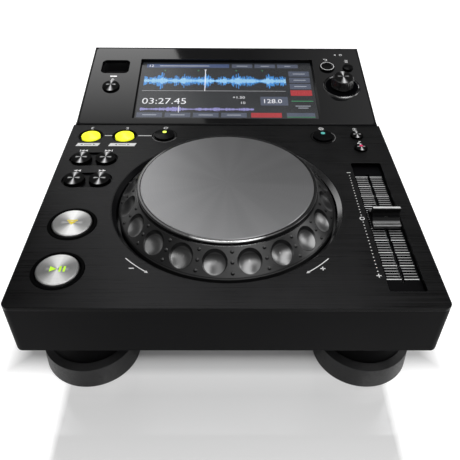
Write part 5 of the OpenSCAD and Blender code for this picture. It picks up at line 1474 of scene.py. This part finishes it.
class PLAYER_OT_stage(Operator):
    """Adds the floor, lights and camera"""

    bl_idname = "player.stage"
    bl_label = "Studio"

    # Lengths are in metres
    FLOOR_HALF, FLOOR_DROP = 12.0, 0.0002
    # Sines of the heights between which the wall darkens
    WALL_FADE = (0.04, 0.3)
    # The floor's painted shadow, a patch under the case that gets less of the lift: how far it starts behind
    # the case's front and ends past its rear and sides, the band in which it ends, and the share of the lift
    # that is left in it
    PATCH_INSET, PATCH_REACH = 0.018, 0.02
    PATCH_BAND, PATCH_SHARE = (-0.012, 0.004), 0.05
    # The floor's mirror: lean, roughness, half width, and places before and behind the deck's front edge
    MIRROR_LEAN, MIRROR_ROUGH = 0.035, 0.08
    MIRROR_SIDE = (0.094, 0.099)
    MIRROR_NEAR, MIRROR_END, MIRROR_FAR = 0.02, 0.03, (-0.16, -0.06)
    MIRROR_SHARES = (1.12, 0.8)
    # Softboxes: name, place, target, size, setting of the radiance and share of it
    MIDDLE = (0, -0.05, 0.08)
    SOFTBOXES = (
        ("top_left_softbox", (-0.75, -0.55, 1.5), (-0.75, -0.55, 0), (1.0, 1.9), "top_light", 0.45),
        ("top_right_softbox", (0.75, -0.55, 1.5), (0.75, -0.55, 0), (1.0, 1.9), "top_light", 1.25),
        ("top_rear_softbox", (0.0, 0.65, 1.45), (0, 0.65, 0), (0.9, 0.7), "top_rear_light", 1.0),
        ("front_softbox", (0.1, -1.1, 1.25), MIDDLE, (0.8, 0.45), "front_light", 1.0),
        ("right_strip", (1.3, 0.0, 0.55), MIDDLE, (0.45, 0.9), "right_light", 1.0),
    )
    # Cards stand behind the deck's front edge. Their corners are (x, z)
    CARD_BEHIND = 1.0
    REAR_CORNERS = ((-0.47, 0.578), (-0.175, 0.578), (-0.02, 1.228), (-0.47, 1.228))
    REAR_SPAN, REAR_SHARE = (0.72, 1.12), 0.12
    DIM_CORNERS = ((0.06, 0.76), (0.8, 0.76), (0.8, 1.3), (0.06, 1.3))
    DIM_SPAN, DIM_SHARE = (0.06, 0.45), 0.25
    # Camera of the photograph, angles in radians
    PITCH, YAW, ROLL = 0.7081, 0.0122, 0.0102
    CAMERA_PLACE = (-0.00135, -0.33699, 0.29155)
    SENSOR_WIDTH = 36

    def execute(self, context):
        """Sets up the studio."""
        scene = context.scene
        self.looks = scene.player_stage
        scene.view_settings.view_transform = "Standard"
        self.surroundings(scene)
        self.floor(scene)
        self.lights(scene)
        self.camera(scene)
        return {"FINISHED"}

    def seen(self, tree):
        """One for what the camera sees, also in gloss or through glass, else nought."""
        path = tree.nodes.new("ShaderNodeLightPath").outputs
        both = math_of(tree, "ADD", path["Is Camera Ray"], path["Is Glossy Ray"])
        return math_of(tree, "ADD", both, path["Is Transmission Ray"], clamp=True)

    def surroundings(self, scene):
        """Dim surrounding light, seen as a pale wall that joins the floor and darkens upwards."""
        world = bpy.data.worlds.new("Studio")
        world.use_nodes = True
        scene.world = world
        tree = world.node_tree
        back = tree.nodes["Background"].inputs
        back["Color"].default_value = (1, 1, 1, 1)
        dim = self.looks.world
        height = axes_of(tree, coordinates(tree, "Generated"))["Z"]
        joined = self.looks.floor_lift + dim * self.looks.floor[0]
        wall = spread(tree, height, *self.WALL_FADE, joined, dim)
        tree.links.new(spread(tree, self.seen(tree), 0.0, 1.0, dim, wall), back["Strength"])

    def sheet(self, scene, name, corners, made):
        """Flat stage piece with four corners."""
        data = bpy.data.meshes.new(name)
        data.from_pydata(corners, [], [(0, 1, 2, 3)])
        data.materials.append(made)
        piece = bpy.data.objects.new(name, data)
        scene.collection.objects.link(piece)
        return piece

    def floor(self, scene):
        """White floor that mirrors the front of the case a little."""
        made, tree, shader = new_material("Studio floor")
        shader["Base Color"].default_value = rgba(self.looks.floor)
        shader["Roughness"].default_value = 1.0
        shader[GLOSS].default_value = 0.0
        lift = math_of(tree, "MULTIPLY", self.seen(tree), self.lift_strength(tree))
        glow = add(tree, "ShaderNodeEmission", {"Strength": lift}).outputs[0]
        plain = tree.nodes[PRINCIPLED].outputs[0]
        whole = add(tree, "ShaderNodeAddShader", {0: plain, 1: glow}).outputs[0]
        leaned = vector_from(tree, y=self.MIRROR_LEAN, z=1.0)
        gloss = {"Color": (1, 1, 1, 1), "Roughness": self.MIRROR_ROUGH, "Normal": leaned}
        mirror = add(tree, "ShaderNodeBsdfGlossy", gloss).outputs[0]
        mixed = add(tree, "ShaderNodeMixShader", {0: self.mirror_share(tree), 1: whole, 2: mirror}).outputs[0]
        tree.links.new(mixed, tree.nodes["Material Output"].inputs["Surface"])
        half = self.FLOOR_HALF
        corners = [(-half, -half), (half, -half), (half, half), (-half, half)]
        self.sheet(scene, "studio_floor", [(x, y, -self.FLOOR_DROP) for x, y in corners], made)

    def lift_strength(self, tree):
        """Brightness that is added to the floor, less of it close to the case, which paints a shadow under it.
        """
        axes = axes_of(tree, coordinates(tree))
        side = math_of(tree, "ABSOLUTE", axes["X"])
        low, high = CAD_BOX
        ahead = math_of(tree, "SUBTRACT", low.y + self.PATCH_INSET, axes["Y"])
        behind = math_of(tree, "SUBTRACT", axes["Y"], high.y + self.PATCH_REACH)
        aside = math_of(tree, "SUBTRACT", side, high.x + self.PATCH_REACH)
        off = math_of(tree, "MAXIMUM", aside, math_of(tree, "MAXIMUM", ahead, behind))
        full = self.looks.floor_lift
        return spread(tree, off, *self.PATCH_BAND, self.PATCH_SHARE * full, full)

    def mirror_share(self, tree):
        """Share of mirror in front of the case, falling away forwards and ending at the feet's sides."""
        axes = axes_of(tree, coordinates(tree))
        across = spread(tree, math_of(tree, "ABSOLUTE", axes["X"]), *self.MIRROR_SIDE, 1.0, 0.0)
        edge = DECK_FRONT + self.MIRROR_NEAR
        near = spread(tree, axes["Y"], DECK_FRONT, edge, *self.MIRROR_SHARES)
        behind = spread(tree, axes["Y"], edge, DECK_FRONT + self.MIRROR_END, 1.0, 0.0)
        far, full = self.MIRROR_FAR
        faded = spread(tree, axes["Y"], DECK_FRONT + far, DECK_FRONT + full, 0.0, 1.0)
        ahead = math_of(tree, "MULTIPLY", behind, faded)
        share = math_of(tree, "MULTIPLY", math_of(tree, "MULTIPLY", across, near), ahead)
        return math_of(tree, "MULTIPLY", share, self.looks.mirror)

    def lights(self, scene):
        """Overhead, front, rear and side softboxes, and the cards."""
        for name, place, target, size, setting, share in self.SOFTBOXES:
            self.softbox(scene, name, place, target, size, share * getattr(self.looks, setting))
        rear, dim = self.looks.rear_light, self.looks.dim_light
        strengths = (rear, self.REAR_SHARE * rear)
        self.card(scene, "rear_softbox", self.REAR_CORNERS, "Z", self.REAR_SPAN, strengths)
        self.card(scene, "dim_card", self.DIM_CORNERS, "X", self.DIM_SPAN, (self.DIM_SHARE * dim, dim))

    def softbox(self, scene, name, place, target, size, radiance):
        """Area light that faces a target."""
        data = bpy.data.lights.new(name, "AREA")
        data.shape = "RECTANGLE"
        data.size, data.size_y = size
        data.energy = radiance * math.pi * size[0] * size[1]
        light = bpy.data.objects.new(name, data)
        facing = (Vector(target) - Vector(place)).to_track_quat("-Z", "Y").to_matrix().to_4x4()
        light.matrix_world = Matrix.Translation(place) @ facing
        light.visible_camera = False
        scene.collection.objects.link(light)

    def card(self, scene, name, corners, axis, span, strengths):
        """Lit card behind the object, graded along an axis, that shows in the glossy panel."""
        made = bpy.data.materials.new("Cloth of " + name)
        made.use_nodes = True
        tree = made.node_tree
        tree.nodes.clear()
        strength = spread(tree, axes_of(tree, coordinates(tree))[axis], *span, *strengths)
        glow = add(tree, "ShaderNodeEmission", {"Strength": strength})
        end = tree.nodes.new("ShaderNodeOutputMaterial")
        tree.links.new(glow.outputs[0], end.inputs["Surface"])
        behind = DECK_FRONT + self.CARD_BEHIND
        box = self.sheet(scene, name, [(x, behind, z) for x, z in corners], made)
        box.visible_camera = False

    def camera(self, scene):
        """Camera at the photograph's view."""
        ahead, down = math.cos(self.PITCH), math.sin(self.PITCH)
        forward = Vector((math.sin(self.YAW) * ahead, math.cos(self.YAW) * ahead, -down))
        level = Vector((math.cos(self.YAW), -math.sin(self.YAW), 0))
        upward = level.cross(forward)
        right = math.cos(self.ROLL) * level + math.sin(self.ROLL) * upward
        top = math.cos(self.ROLL) * upward - math.sin(self.ROLL) * level
        data = bpy.data.cameras.new("photo_camera")
        data.sensor_width = self.SENSOR_WIDTH
        data.lens = self.looks.lens
        data.clip_start = 0.01
        camera = bpy.data.objects.new("photo_camera", data)
        turned = Matrix((right, top, -forward)).transposed().to_4x4()
        camera.matrix_world = Matrix.Translation(self.CAMERA_PLACE) @ turned
        scene.collection.objects.link(camera)
        scene.camera = camera


OPERATORS = (
    PLAYER_OT_stage,
    PLAYER_OT_case,
    PLAYER_OT_display,
    PLAYER_OT_screen,
    PLAYER_OT_jog,
    PLAYER_OT_fader,
    PLAYER_OT_keys,
    PLAYER_OT_selector,
    PLAYER_OT_deck_marks,
    PLAYER_OT_rear,
)


class VIEW3D_PT_player(Panel):
    """Lists the settings and steps of the player"""

    bl_label = "Media player"
    bl_space_type = "VIEW_3D"
    bl_region_type = "UI"
    bl_category = "Player"

    def draw(self, context):
        """Draws the settings and one button for each operator."""
        for group in SETTINGS:
            box = self.layout.box()
            settings = getattr(context.scene, group)
            for title in settings.__annotations__:
                box.prop(settings, title)
        for step in OPERATORS:
            self.layout.operator(step.bl_idname)


def register():
    """Registers the classes and their settings."""
    for group in SETTINGS.values():
        bpy.utils.register_class(group)
    for step in (*OPERATORS, VIEW3D_PT_player):
        bpy.utils.register_class(step)
    for title, group in SETTINGS.items():
        setattr(bpy.types.Scene, title, PointerProperty(type=group))


def unregister():
    """Removes the classes and their settings."""
    for title in SETTINGS:
        delattr(bpy.types.Scene, title)
    for step in reversed((*OPERATORS, VIEW3D_PT_player)):
        bpy.utils.unregister_class(step)
    for group in SETTINGS.values():
        bpy.utils.unregister_class(group)


def main():
    """Builds the scene."""
    register()
    bpy.ops.player.stage()
    bpy.ops.player.case()
    bpy.ops.player.display()
    bpy.ops.player.screen()
    bpy.ops.player.jog()
    bpy.ops.player.fader()
    bpy.ops.player.keys()
    bpy.ops.player.selector()
    bpy.ops.player.deck_marks()
    bpy.ops.player.rear()


if __name__ == "__main__":
    main()
